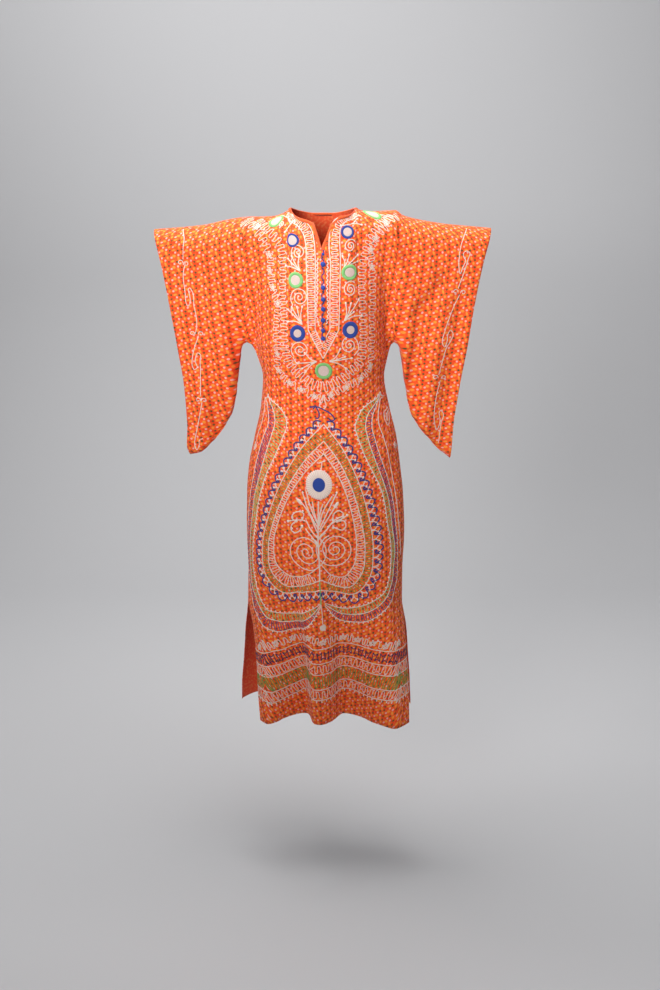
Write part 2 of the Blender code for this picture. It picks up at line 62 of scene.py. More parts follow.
SIDES = {
    "z": (-0.295, -0.301, -0.335, -0.370, -0.440, -0.510, -0.582, -0.655, -0.754, -0.829,
          -0.905, -0.983, -1.062, -1.142, -1.200),
    "front_left": (-0.174, -0.163, -0.148, -0.139, -0.1445, -0.160, -0.175, -0.181, -0.183,
                   -0.181, -0.183, -0.171, -0.163, -0.159, -0.154),
    "front_right": (0.161, 0.154, 0.145, 0.139, 0.1515, 0.169, 0.1795, 0.188, 0.192, 0.189,
                    0.189, 0.197, 0.202, 0.206, 0.206),
    "back_left": (-0.174, -0.163, -0.148, -0.139, -0.1445, -0.160, -0.175, -0.181, -0.183,
                  -0.181, -0.183, -0.191, -0.198, -0.205, -0.208),
    "back_right": (0.161, 0.154, 0.145, 0.139, 0.1515, 0.169, 0.1795, 0.188, 0.192, 0.189,
                   0.189, 0.201, 0.208, 0.214, 0.217),
}
DEPTHS = {
    "z": (0.0, -0.06, -0.12, -0.20, -0.295, -0.37, -0.44, -0.52, -0.60, -0.68, -0.80, -0.95,
          -1.20),
    "front": (0.078, 0.090, 0.108, 0.124, 0.121, 0.108, 0.106, 0.110, 0.113, 0.112, 0.107,
              0.098, 0.080),
    "back": (0.060, 0.080, 0.098, 0.106, 0.096, 0.087, 0.091, 0.105, 0.118, 0.120, 0.112,
             0.100, 0.086),
}
EDGE_OUT = {"front": (0.074, 0.085), "back": (0.046, 0.017)}
EDGE_GROWTH = 1.15
TOP_LINE = {
    "x": (0.0713, 0.090, 0.108, 0.141, 0.159, 0.176, 0.214, 0.267, 0.320, 0.374),
    "left_z": (0.0, -0.011, -0.0165, -0.018, -0.018, -0.019, -0.025, -0.036, -0.041, -0.045),
    "right_z": (0.0, -0.0055, -0.0065, -0.005, -0.004, -0.015, -0.0245, -0.033, -0.038, -0.0425),
}
FRONT_NECK = {
    "left_x": (-0.0193, -0.0345, -0.0519, -0.0640, -0.0698, -0.0713),
    "right_x": (0.0171, 0.0344, 0.0516, 0.0632, 0.0690, 0.0703),
    "out": (0.082, 0.079, 0.066, 0.043, 0.021, 0.0),
    "left_z": (-0.0320, -0.0255, -0.0210, -0.0140, -0.0065, 0.0),
    "right_z": (-0.0338, -0.0185, -0.0155, -0.0115, -0.0055, 0.0),
}
BACK_NECK = {
    "left_x": (-0.001, -0.0250, -0.0450, -0.0600, -0.0686, -0.0713),
    "right_x": (-0.001, 0.0240, 0.0440, 0.0590, 0.0676, 0.0703),
    "out": (0.060, 0.056, 0.046, 0.031, 0.015, 0.0),
    "left_z": (-0.012, -0.0105, -0.0075, -0.004, -0.001, 0.0),
    "right_z": (-0.012, -0.0105, -0.0075, -0.004, -0.001, 0.0),
}
OPENING = {
    "z": (-0.0320, -0.060, -0.087, -0.180, -0.278),
    "left_x": (-0.0193, -0.0105, -0.0038, -0.0021, -0.0003),
    "right_x": (0.0171, 0.0070, -0.0030, -0.0015, -0.0003),
}
UNDER_SLEEVE = {
    "left_x": (-0.174, -0.184, -0.189, -0.199, -0.207, -0.2145, -0.229, -0.246, -0.2676,
               -0.290, -0.312),
    "left_z": (-0.295, -0.301, -0.324, -0.393, -0.440, -0.463, -0.487, -0.510, -0.534,
               -0.551, -0.556),
    "right_x": (0.161, 0.170, 0.177, 0.1876, 0.1977, 0.2051, 0.2195, 0.2386, 0.2602, 0.279,
                0.2945),
    "right_z": (-0.295, -0.301, -0.324, -0.393, -0.440, -0.463, -0.487, -0.510, -0.534,
                -0.551, -0.563),
}
CUFF = {
    "left_x": (-0.3735, -0.357, -0.343, -0.330, -0.3185, -0.3155, -0.3180, -0.312),
    "left_z": (-0.045, -0.123, -0.211, -0.301, -0.393, -0.487, -0.534, -0.556),
    "right_x": (0.371, 0.352, 0.337, 0.325, 0.310, 0.299, 0.297, 0.2945),
    "right_z": (-0.0425, -0.123, -0.211, -0.301, -0.393, -0.487, -0.534, -0.563),
}
TORSO_SHARE = {
    "z": (-0.295, -0.301, -0.335, -0.36, -1.2),
    "share": (0.885, 0.925, 0.985, 1.0, 1.0),
    "gusset": (1.0, 0.95, 0.3, 0.0, 0.0),
}
SHOULDER_ROUND = 0.055
CHEST_POWER = 2.3
SLIT_LEAN = 3.0  # columns over which the cloth beside the slit follows its edge
ARMHOLE_ROUND, ARM_ROUND = 0.060, 0.042
HANG_GAP = 0.012
SLEEVE_POWER = (0.7, 0.9)
SEAM_ROUND = 0.010
FOLDS = {
    "front": {
        "across": (-1.0, -0.89, -0.69, -0.40, -0.345, -0.285, -0.19, -0.05, 0.13, 0.40, 0.60,
                   0.80, 0.92, 1.0),
        "out": (0.0, 0.018, -0.015, -0.044, -0.038, 0.014, 0.020, 0.003, -0.044, -0.019, 0.017,
                0.038, 0.020, 0.0),
    },
    "back": {
        "across": (-1.0, -0.80, -0.55, -0.28, -0.02, 0.25, 0.50, 0.78, 1.0),
        "out": (0.0, 0.022, -0.018, 0.020, -0.024, 0.018, -0.020, 0.016, 0.0),
    },
}
FOLD_GROWTH = 1.6
SLEEVE_SWAY = {
    "along": (0.0, 0.25, 0.50, 0.72, 0.88, 1.0),
    "left": (0.0, -0.006, 0.010, -0.010, 0.007, -0.004),
    "right": (0.0, 0.008, -0.010, 0.009, -0.008, 0.005),
}

# Soft creases: from (x, z) to (x, z), how wide, and how far out (in, if negative)
CREASES = {
    "front": (
        (-0.338, -0.078, -0.270, -0.148, 0.011, -0.0070),
        (-0.252, -0.130, -0.240, -0.180, 0.010, -0.0055),
        (-0.330, -0.070, -0.215, -0.140, 0.012, 0.0032),
        (-0.262, -0.120, -0.225, -0.215, 0.012, -0.0035),
        (-0.240, -0.230, -0.205, -0.400, 0.018, 0.0040),
        (-0.290, -0.260, -0.300, -0.480, 0.016, -0.0035),
        (-0.176, -0.040, -0.150, -0.130, 0.011, -0.0030),
        (-0.160, -0.290, -0.105, -0.235, 0.010, -0.0026),
        (0.171, -0.055, 0.183, -0.110, 0.010, -0.0080),
        (0.183, -0.105, 0.206, -0.170, 0.010, -0.0080),
        (0.269, -0.164, 0.204, -0.228, 0.010, -0.0062),
        (0.262, -0.155, 0.222, -0.240, 0.014, -0.0050),
        (0.230, -0.100, 0.255, -0.200, 0.012, 0.0028),
        (0.215, -0.380, 0.190, -0.330, 0.009, -0.0045),
        (0.245, -0.290, 0.262, -0.470, 0.016, 0.0038),
        (0.300, -0.210, 0.290, -0.420, 0.018, -0.0034),
        (0.160, -0.295, 0.100, -0.215, 0.010, -0.0028),
        (0.128, -0.310, 0.090, -0.285, 0.008, -0.0020),
        (-0.132, -0.420, -0.085, -0.400, 0.010, -0.0018),
        (0.135, -0.430, 0.080, -0.415, 0.010, -0.0018),
        (-0.050, -0.570, -0.047, -0.725, 0.011, -0.0060),
        (-0.047, -0.770, -0.040, -0.900, 0.012, -0.0075),
        (0.155, -0.560, 0.165, -0.800, 0.012, -0.0026),
        (-0.100, -0.960, -0.112, -1.190, 0.014, 0.0040),
        (0.095, -0.940, 0.112, -1.190, 0.016, 0.0040),
    ),
    "back": (
        (-0.330, -0.080, -0.235, -0.190, 0.016, -0.0050),
        (-0.275, -0.105, -0.215, -0.260, 0.014, 0.0040),
        (-0.290, -0.240, -0.300, -0.470, 0.018, -0.0040),
        (0.320, -0.080, 0.228, -0.180, 0.016, -0.0050),
        (0.262, -0.130, 0.208, -0.270, 0.014, 0.0040),
        (0.290, -0.230, 0.280, -0.450, 0.018, -0.0040),
        (-0.150, -0.290, -0.070, -0.215, 0.012, -0.0035),
        (0.140, -0.290, 0.062, -0.205, 0.012, -0.0035),
        (-0.085, -0.395, 0.070, -0.410, 0.012, -0.0028),
        (-0.060, -0.425, 0.085, -0.445, 0.011, 0.0022),
        (-0.030, -0.560, -0.042, -0.900, 0.016, -0.0032),
        (0.085, -0.640, 0.095, -1.000, 0.016, 0.0036),
        (-0.120, -0.700, -0.128, -1.100, 0.016, 0.0040),
    ),
}
RIPPLE = {"size": 0.045, "out": 0.0009}  # faint unevenness of the washed cotton


def curve(places, values, at):
    """A soft curve through a table's rows, with no overshoot between them."""
    places, values = np.asarray(places, float), np.asarray(values, float)
    if places[0] > places[-1]:
        places, values = places[::-1], values[::-1]
    steps = np.diff(places)
    slopes = np.diff(values) / steps
    tangents = np.empty(len(values))
    tangents[0], tangents[-1] = slopes[0], slopes[-1]
    same_way = slopes[:-1] * slopes[1:] > 0
    total = np.where(same_way, slopes[:-1] + slopes[1:], 1.0)
    tangents[1:-1] = np.where(same_way, 2 * slopes[:-1] * slopes[1:] / total, 0.0)
    at = np.clip(at, places[0], places[-1])
    i = np.clip(np.searchsorted(places, at, side="right") - 1, 0, len(steps) - 1)
    q = (at - places[i]) / steps[i]
    return (
        values[i] * (1 + 2 * q) * (1 - q) ** 2
        + values[i + 1] * q * q * (3 - 2 * q)
        + steps[i] * (tangents[i] * q * (1 - q) ** 2 - tangents[i + 1] * q * q * (1 - q))
    )


def read(table, place, column, at):
    return curve(table[place], table[column], at)


def along(table, side, share):
    """The points (x, z) at these shares of the length of a table's line."""
    xs, zs = np.array(table[side + "_x"]), np.array(table[side + "_z"])
    lengths = np.concatenate([[0.0], np.cumsum(np.hypot(np.diff(xs), np.diff(zs)))])
    at = np.asarray(share) * lengths[-1]
    return np.stack([curve(lengths, xs, at), curve(lengths, zs, at)], axis=-1)


def arch(distance, radius):
    q = np.clip(distance / radius, 0.0, 1.0)
    return np.sqrt(q * (2 - q))


def top_z(side, x):
    return read(TOP_LINE, "x", side + "_z", np.abs(x))


def sleeve_depth(share, above, length):
    widest = ARMHOLE_ROUND + (ARM_ROUND - ARMHOLE_ROUND) * share
    power = SLEEVE_POWER[0] + (SLEEVE_POWER[1] - SLEEVE_POWER[0]) * share
    return HANG_GAP + (widest - HANG_GAP) * (np.clip(above, 0.0, None) / length) ** power


def armhole_x(side):
    return SIDES["front_" + side][0]


def skirt_middle(panel, z):
    left, right = (read(SIDES, "z", f"{panel}_{side}", z) for side in ("left", "right"))
    return 0.5 * (left + right), 0.5 * (right - left)


def torso_round(q, z):
    return np.sqrt(np.clip(1 - (q / read(TORSO_SHARE, "z", "share", z)) ** 2, 0.0, None))


def joined(depth, thin):
    return np.cbrt(np.clip(depth, 0.0, None) ** 3 + np.clip(thin, 0.0, None) ** 3)


def yoke_block(panel, side):
    """Rows and columns of (x, out, z) between the shoulders and the underarm."""
    column = np.arange(COLUMNS * FINER + 1) / FINER
    share = 0.5 * (1 - np.cos(np.pi * np.arange(YOKE_ROWS * FINER + 1) / (YOKE_ROWS * FINER)))
    column, share = np.meshgrid(column, share)
    neck = FRONT_NECK if panel == "front" else BACK_NECK
    at_neck = [curve(range(NECK_COLUMN + 1), neck[key], np.minimum(column, NECK_COLUMN))
               for key in (side + "_x", "out", side + "_z")]
    beyond = np.clip((column - NECK_COLUMN) / (COLUMNS - NECK_COLUMN), 0.0, 1.0)
    spread = np.sin(beyond * np.pi / 2)
    x_top = at_neck[0] + (armhole_x(side) - at_neck[0]) * spread
    on_neck = column <= NECK_COLUMN
    x_top = np.where(on_neck, at_neck[0], x_top)
    out_top = np.where(on_neck, at_neck[1], 0.0)
    z_top = np.where(on_neck, at_neck[2], top_z(side, x_top))
    angle = 0.5 * np.pi * column / COLUMNS
    middle, half = skirt_middle(panel, UNDERARM_Z)
    x_low = middle + math.copysign(1.0, armhole_x(side)) * half * np.sin(angle)
    z = z_top + (UNDERARM_Z - z_top) * share
    x = x_top + (x_low - x_top) * share
    if panel == "front":
        edge_x = read(OPENING, "z", side + "_x", z)
        ruled = FRONT_NECK[side + "_x"][0] * (1 - share) + middle * share
        x += (edge_x - ruled) * np.clip(1 - column / SLIT_LEAN, 0.0, 1.0) ** 2
    q = np.abs(np.sin(angle))
    seam_length = abs(UNDERARM_Z - top_z(side, armhole_x(side)))
    above = (1 - share) * seam_length
    edge = sleeve_depth(0.0, above, seam_length)
    edge = edge * arch(np.hypot(above, (1 - q) * half), SEAM_ROUND)
    full = read(DEPTHS, "z", panel, z)
    chest = edge + (full - edge) * (1 - q**CHEST_POWER) ** 2
    low = share * share * (3 - 2 * share)
    depth = chest + (joined(full * torso_round(q, UNDERARM_Z), edge) - chest) * low
    neckness = np.clip(1 - column / NECK_COLUMN, 0.0, 1.0)
    turned = arch(z_top - z, SHOULDER_ROUND) ** (1 + neckness)
    return np.stack([x, out_top + (depth - out_top) * turned, z], axis=-1)


def sleeve_block(side):
    """Rows and columns of (x, out, z, sway) of a sleeve, on a patch between its four edges."""
    s = np.arange(SLEEVE_COLUMNS * FINER + 1) / (SLEEVE_COLUMNS * FINER)
    t = 0.5 * (1 - np.cos(np.pi * np.arange(YOKE_ROWS * FINER + 1) / (YOKE_ROWS * FINER)))
    s, t = np.meshgrid(s, t)
    start = armhole_x(side)
    corner = along(CUFF, side, 0.0)
    over_x = start + (corner[0] - start) * s
    over = np.stack([over_x, top_z(side, over_x)], axis=-1)
    under, cuff = along(UNDER_SLEEVE, side, s), along(CUFF, side, t)
    top, low = np.array([start, top_z(side, start)]), np.array([start, UNDERARM_Z])
    s3, t3 = s[..., None], t[..., None]
    armhole = top + (low - top) * t3
    corners = ((1 - s3) * (1 - t3) * top + (1 - s3) * t3 * low + s3 * (1 - t3) * corner
               + s3 * t3 * along(CUFF, side, 1.0))
    place = (1 - t3) * over + t3 * under + (1 - s3) * armhole + s3 * cuff - corners
    length = np.linalg.norm(over - under, axis=-1)
    above = (1 - t) * length
    depth = sleeve_depth(s, above, length) * arch(above, SEAM_ROUND)
    turn = SHOULDER_ROUND + (ARM_ROUND - SHOULDER_ROUND) * s
    sway = read(SLEEVE_SWAY, "along", side, s) * t * np.sqrt(t)
    return np.stack([place[..., 0], depth * arch(t * length, turn), place[..., 1], sway], axis=-1)


def skirt_block(panel, side):
    """Rows and columns of (x, out, z) below the underarm."""
    row = np.arange(SKIRT_ROWS * FINER + 1) / (SKIRT_ROWS * FINER)
    z = UNDERARM_Z + (HEM_Z - UNDERARM_Z) * row**FIRST_ROWS_CLOSE
    angle = math.copysign(0.5 * np.pi, armhole_x(side))
    angle = angle * np.arange(COLUMNS * FINER + 1) / (COLUMNS * FINER)
    angle, z = np.meshgrid(angle, z)
    middle, half = skirt_middle(panel, z)
    x = middle + half * np.sin(angle)
    open_share = np.clip((SLIT_TOP_Z - z) / (SLIT_TOP_Z - HEM_Z), 0.0, None)
    edge = EDGE_OUT[panel][side == "right"] * open_share**EDGE_GROWTH
    q = np.abs(np.sin(angle))
    gusset = HANG_GAP * arch((1 - q) * half, SEAM_ROUND) * read(TORSO_SHARE, "z", "gusset", z)
    depth = joined(edge + (read(DEPTHS, "z", panel, z) - edge) * torso_round(q, z), gusset)
    grown = np.clip((FOLD_START_Z - z) / (FOLD_START_Z - HEM_Z), 0.0, None) ** FOLD_GROWTH
    depth += read(FOLDS[panel], "across", "out", np.sin(angle)) * grown
    return np.stack([x, depth, z], axis=-1)


def lengths(block, axis):
    """Running length along rows or columns of points."""
    steps = np.linalg.norm(np.diff(block, axis=axis), axis=-1)
    start = np.zeros_like(np.take(steps, [0], axis=axis))
    return np.concatenate([start, np.cumsum(steps, axis=axis)], axis=axis)


class Panel:
    """A T-shaped panel: points, normals, faces wound outwards, and each point's flat place."""

    def __init__(self, name):
        self.name, self.turn = name, -1 if name == "front" else 1
        self.points, self.flat, self.faces, self.seam = [], [], [], []
        self.grids = {}
        for side in ("left", "right"):
            self.add_side(side)
        self.points, self.flat = np.concatenate(self.points), np.concatenate(self.flat)
        self.faces, self.seam = np.array(self.faces), np.concatenate(self.seam)
        self.points[self.seam, 1] = self.turn * HALF_SEAM
        self.crease()

    def add(self, block, flat, seam):
        """Adds a block's points and returns the grid of their numbers."""
        first = sum(len(p) for p in self.points)
        rows, columns = block.shape[:2]
        self.points.append(block.reshape(-1, 3))
        self.flat.append(flat.reshape(-1, 2))
        self.seam.append(seam.reshape(-1))
        return first + np.arange(rows * columns).reshape(rows, columns)

    def placed(self, block):
        sway = block[..., 3] if block.shape[-1] == 4 else 0.0
        return np.stack([block[..., 0], self.turn * block[..., 1] - sway, block[..., 2]], -1)

    def add_side(self, side):
        sign = math.copysign(1.0, armhole_x(side))
        yoke = self.placed(yoke_block(self.name, side))
        skirt = self.placed(skirt_block(self.name, side))
        sleeve = self.placed(sleeve_block(side))
        across = yoke[:, :1, 0] + sign * lengths(yoke, 1)
        down = lengths(yoke, 0)
        yoke_flat = np.stack([across, down[-1:] - down], -1)
        across = skirt[:, :1, 0] + sign * lengths(skirt, 1)
        skirt_flat = np.stack([across, -lengths(skirt, 0)], -1)
        arm = yoke_flat[:, -1:]
        sleeve_flat = np.stack([arm[..., 0] + sleeve[..., 0] - yoke[:, -1:, 0],
                                arm[..., 1] + sleeve[..., 2] - yoke[:, -1:, 2]], -1)
        seam = np.zeros(yoke.shape[:2], bool)
        seam[0, NECK_COLUMN * FINER:] = True
        seam[-1, -1] = True
        yoke_at = self.add(yoke, yoke_flat, seam)
        seam = np.zeros(skirt.shape[:2], bool)
        seam[:, -1] = skirt[:, -1, 2] > SLIT_TOP_Z
        skirt_at = self.add(skirt[1:], skirt_flat[1:], seam[1:])
        seam = np.zeros(sleeve.shape[:2], bool)
        seam[[0, -1]] = True
        sleeve_at = self.add(sleeve[:, 1:], sleeve_flat[:, 1:], seam[:, 1:])
        skirt_at = np.concatenate([yoke_at[-1:], skirt_at])
        sleeve_at = np.concatenate([yoke_at[:, -1:], sleeve_at], axis=1)
        if side == "right":
            left_yoke, left_skirt = self.grids["left"][:2]
            open_rows = SLIT_ROW * FINER if self.name == "front" else 0
            yoke_at[open_rows:, 0] = left_yoke[open_rows:, 0]
            skirt_at[:, 0] = left_skirt[:, 0]
        self.grids[side] = (yoke_at, skirt_at, sleeve_at)
        for grid in self.grids[side]:
            quads = np.stack([grid[:-1, :-1], grid[1:, :-1], grid[1:, 1:], grid[:-1, 1:]], -1)
            quads = quads.reshape(-1, 4)
            if (side == "left") == (self.name == "front"):
                quads = quads[:, ::-1]
            self.faces.extend(quads.tolist())

    def normals(self):
        corners = self.points[self.faces]
        face = np.cross(corners[:, 2] - corners[:, 0], corners[:, 3] - corners[:, 1])
        found = np.zeros_like(self.points)
        for k in range(4):
            np.add.at(found, self.faces[:, k], face)
        found[self.seam, 1] = 0.0
        size = np.linalg.norm(found, axis=1)
        return found / np.where(size == 0, 1.0, size)[:, None]

    def crease(self):
        """Moves the cloth in or out along its creases, and leaves the seams where they are."""
        x, z = self.points[:, 0], self.points[:, 2]
        out = np.zeros(len(x))
        for x1, z1, x2, z2, width, depth in CREASES[self.name]:
            way = np.array([x2 - x1, z2 - z1])
            size = np.linalg.norm(way)
            rel = np.stack([x - x1, z - z1], -1)
            run = rel @ way / size
            off = np.abs(rel @ np.array([-way[1], way[0]])) / size
            beyond = np.maximum(np.maximum(-run, run - size), 0.0)
            fade = np.exp(-(beyond / (1.6 * width)) ** 2)
            out += depth * np.exp(-(off / width) ** 2) * fade
        for i, (u, v) in enumerate(self.flat):
            place = Vector((u, v, self.turn)) / RIPPLE["size"]
            out[i] += RIPPLE["out"] * noise.noise(place)
        still = np.clip(np.abs(self.points[:, 1]) / 0.012, 0.0, 1.0)
        self.points += (out * still)[:, None] * self.normals()


def mesh_object(name, points, faces, materials, body="root"):
    mesh = bpy.data.meshes.new(name)
    mesh.from_pydata([tuple(p) for p in np.asarray(points, float).tolist()], [], faces)
    mesh.shade_smooth()
    for finish in materials:
        mesh.materials.append(finish)
    made = bpy.data.objects.new(name, mesh)
    bpy.context.scene.collection.objects.link(made)
    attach(made, body)
    return made


def set_uv(mesh, values):
    """values gives (u, v) for each of the mesh's points."""
    layer = mesh.uv_layers.new(name="cloth")
    at = np.empty(len(mesh.loops), np.int32)
    mesh.loops.foreach_get("vertex_index", at)
    layer.data.foreach_set("uv", np.asarray(values, np.float32)[at].reshape(-1))


def cloth_shell(panel, print_side, wrong_side):
    """The panel as thin cloth, its printed side out, and its edges closed."""
    outer, count = panel.points, len(panel.points)
    inner = outer - CLOTH * panel.normals()
    used = set()
    for face in panel.faces.tolist():
        for a, b in zip(face, face[1:] + face[:1]):
            if (b, a) in used:
                used.remove((b, a))
            else:
                used.add((a, b))
    rim = [[b, a, a + count, b + count] for a, b in sorted(used)]
    inside = (panel.faces[:, ::-1] + count).tolist()
    faces = panel.faces.tolist() + inside + rim
    made = mesh_object(panel.name + "_cloth", np.concatenate([outer, inner]), faces,
                       (print_side, wrong_side))
    slots = [0] * len(panel.faces) + [1] * len(inside) + [0] * len(rim)
    made.data.polygons.foreach_set("material_index", slots)
    set_uv(made.data, np.concatenate([panel.flat, panel.flat]))
    body = bmesh.new()
    body.from_mesh(made.data)
    loose = [v for v in body.verts if not v.link_faces]
    bmesh.ops.delete(body, geom=loose, context="VERTS")
    body.to_mesh(made.data)
    body.free()
    return made


# Embroidery: where each line runs, in millimetres from the neck point, as (x, z) from the front

THREAD = {"width": 0.0023, "thin": 0.0017, "height": 0.0010, "step": 0.0013, "sunk": 0.0001}
LADDERS = {
    "lines": (
        ((-68, -13), (-50, -22), (-33, -33), (-25, -45), (-20, -64), (-17, -98), (-17, -170),
         (-17, -254)),
        ((-17, -254), (-2, -286)),
        ((-90, -15), (-72, -25), (-54, -38), (-42, -55), (-37, -78), (-36, -110), (-34, -170),
         (-32, -255)),
        ((-32, -255), (0, -317)),
        ((69, -11), (48, -18), (30, -22), (20, -32), (14, -55), (13, -80), (16, -112), (15, -170),
         (15, -254)),
        ((15, -254), (-2, -286)),
        ((82, -16), (62, -24), (47, -30), (38, -42), (36, -62), (37, -98), (36, -170),
         (34, -255)),
        ((34, -255), (0, -317)),
    ),
    "swings": (
        (((-79, -14), (-61, -24), (-42, -38), (-32, -55), (-28, -80), (-26.5, -110),
          (-25.5, -170), (-24.5, -250)), 7.5, 10.0),
        (((-24, -259), (-4, -298)), 7.0, 9.0),
        (((76, -13), (55, -21), (38, -29), (29, -45), (25, -72), (26, -110), (25.5, -170),
          (24.5, -250)), 7.5, 10.0),
        (((24, -259), (5, -298)), 7.0, 9.0),
    ),
    "edges": (((-12, -104), (-12, -168), (-12, -233), (-1, -262)),
              ((10, -104), (9, -168), (9, -233), (-1, -262))),
    "cord": ((-1, -88), (0, -120), (-1, -165), (0, -210), (0, -243), (0, -271)),
}
# Snails: centre, first radius, last radius, turns, the way the last turn ends, and handedness
SNAILS = (
    (-91, -34, 1.5, 9.0, 1.9, 200, 1), (-54, -92, 2.0, 18.0, 2.3, 225, 1),
    (-51, -186, 2.2, 22.0, 2.4, 228, 1), (-50, -299, 2.2, 22.0, 2.4, 228, 1),
    (59, -79, 2.0, 15.0, 2.2, 35, -1), (59, -169, 2.2, 18.0, 2.4, 45, -1),
    (57, -289, 2.2, 21.0, 2.4, 12, -1),
)
SNAIL_TAILS = (
    ((-67, -105), (-69, -112), (-67, -120)), ((-66, -202), (-69, -213), (-66, -226)),
    ((-66, -316), (-60, -326), (-55, -331)), ((77, -286), (77, -300), (68, -312)),
)
SPRIGS = (
    ((-69, -34), ((-82, -50), (-63, -27), (-74, -24))),
    ((-49, -131), ((-80, -121), (-75, -106), (-67, -101), (-51, -100))),
    ((-45, -244), ((-75, -213), (-67, -208), (-56, -207), (-45, -206), (-76, -238))),
    ((-14, -324), ((-56, -329), (-46, -340), (-38, -347), (-39, -306))),
    ((14, -324), ((37, -297), (50, -340), (47, -314), (62, -318))),
    ((62, -33), ((39, -37), (74, -23), (83, -35))),
    ((44, -126), ((42, -101), (56, -98), (75, -98), (74, -112))),
    ((46, -236), ((49, -199), (60, -200), (77, -192), (84, -226), (66, -218))),
)
WAVE_BAND = {
    "line": ((-145, -27), (-120, -46), (-95, -73), (-87, -109), (-87, -172), (-85, -235),
             (-85, -289), (-75, -327), (-51, -355), (-25, -375), (0, -381), (28, -372), (59, -349),
             (81, -328), (87, -295), (87, -236), (84, -172), (86, -120), (97, -78), (117, -42),
             (142, -15)),
    "half": 9.5, "half_low": 12.0, "period": 13.5,
}
FLOWER_BAND = {
    "line": ((-167, -23), (-141, -50), (-116, -98), (-113, -134), (-110, -167), (-99, -200),
             (-103, -247), (-101, -291), (-101, -311), (-99, -348), (-75, -374), (-49, -386),
             (-19, -402), (0, -408), (17, -398), (52, -380), (83, -366), (104, -340), (106, -301),
             (107, -249), (109, -195), (106, -124), (104, -88), (115, -65), (137, -34),
             (153, -13)),
    "flowers": ((-146, -40), (-117, -99), (-116, -133), (-110, -168), (-99, -201), (-101, -311),
                (-99, -348), (-75, -374), (-49, -388), (-20, -402), (17, -400), (51, -383),
                (83, -366), (104, -339), (106, -124), (104, -88), (114, -64), (137, -33)),
    "radius": 8.5, "half": 9.0, "period": 13.5,
}
TEAR = ((0, -400), (-6, -414), (-8, -424), (-1, -431), (6, -424), (4, -414), (0, -400))

# The ogee's half outline: shares of its half width and of its height from the point down
OGEE_ACROSS = (0.0, 0.33, 0.62, 0.87, 1.0, 0.93, 0.65, 0.33, 0.0)
OGEE_DOWN = (0.0, 0.125, 0.29, 0.51, 0.75, 0.91, 1.0, 0.985)
OGEE_MIDDLE = (1, -6)  # x at the point and at the notch
OGEES = {
    # point z, lowest z, left and right half widths, how far the notch rises
    "outer": (-464, -870, 138, 119, 14),
    "middle": (-502, -853, 124, 100, 23),
    "inner": (-531, -826, 111, 80, 33),
}
# Loops along the outer line; their reach grows and shrinks from the point to the notch
SCALLOP = {
    "pitch": 23.0, "off": 8.0, "curl": 5.0, "at": (0.0, 0.35, 0.6, 0.85, 1.0),
    "out": {"left": (11.0, 9.5, 9.0, 14.0, 14.0), "right": (11.0, 15.5, 18.0, 16.0, 15.0)},
}
HOOKS = (
    ((-30, -427), (-18, -425), (3, -433), (21, -446), (25, -454), (18, -457), (12, -451)),
    ((-22, -431), (-18, -425), (-12, -433), (-9, -442), (-11, -451), (-18, -451)),
)

PLUME = {
    "fronds": (
        ((-11, -699), (-29, -655), (-40, -614)), ((-12, -706), (-37, -655), (-47, -623)),
        ((-13, -716), (-40, -658), (-60, -638)), ((-13, -728), (-27, -711), (-39, -687)),
        ((-12, -748), (-24, -728), (-41, -707)), ((-12, -697), (-21, -666), (-25, -641)),
        ((-10, -699), (0, -663), (20, -628)), ((-9, -706), (11, -663), (30, -622)),
        ((-9, -713), (8, -685), (32, -644)), ((-9, -725), (8, -707), (27, -684), (47, -675)),
        ((-10, -697), (-7, -666), (-1, -646)),
    ),
    "curls": (
        ((-47, -684), (-45, -672), (-55, -667), (-67, -671), (-72, -682), (-63, -690)),
        ((-63, -690), (-73, -701), (-74, -711), (-65, -718), (-54, -712), (-50, -701)),
        ((-81, -691), (-68, -688), (-53, -687), (-40, -689)),
        ((21, -683), (25, -669), (35, -663), (45, -670), (41, -684), (31, -690)),
        ((33, -688), (47, -688), (51, -701), (43, -710), (31, -706), (22, -702)),
        ((53, -675), (42, -682), (28, -688), (8, -702)),
    ),
    "stem": ((-11, -640), (-12, -700), (-12, -750), (-9, -800), (-9, -834)),
    "stem_green": ((-9, -834), (-8, -857), (-6, -892)),
    "stem_low": ((-6, -892), (-3, -920), (-2, -942)),
    "sprout": ((-6, -575), (-4, -560), (-3, -549)),
    "sprout_tips": ((-11, -553), (5, -547)),
    "dots": ((-47, -622, 5), (30, -620, 5), (-81, -691, 6), (-71, -681, 6), (-72, -708, 5),
             (-49, -702, 7), (-48, -683, 6), (-62, -689, 7), (54, -674, 6), (46, -679, 5),
             (21, -684, 6), (22, -703, 6), (31, -688, 7), (-47, -666, 5)),
    "leaves": ((-60, -637, -49, -650), (33, -643, 25, -656)),
    # big snails: centre, first and last radius, turns, end angle, handedness
    "snails": ((-40, -764, 4.0, 50.0, 3.4, 62, 1), (27, -757, 4.0, 47.0, 3.3, 118, -1)),
    "snail_stems": (((-12, -750), (-17, -735), (-28, -728)), ((-11, -750), (3, -728), (13, -722))),
    "pendant": (-2, -951, 8.0),
}

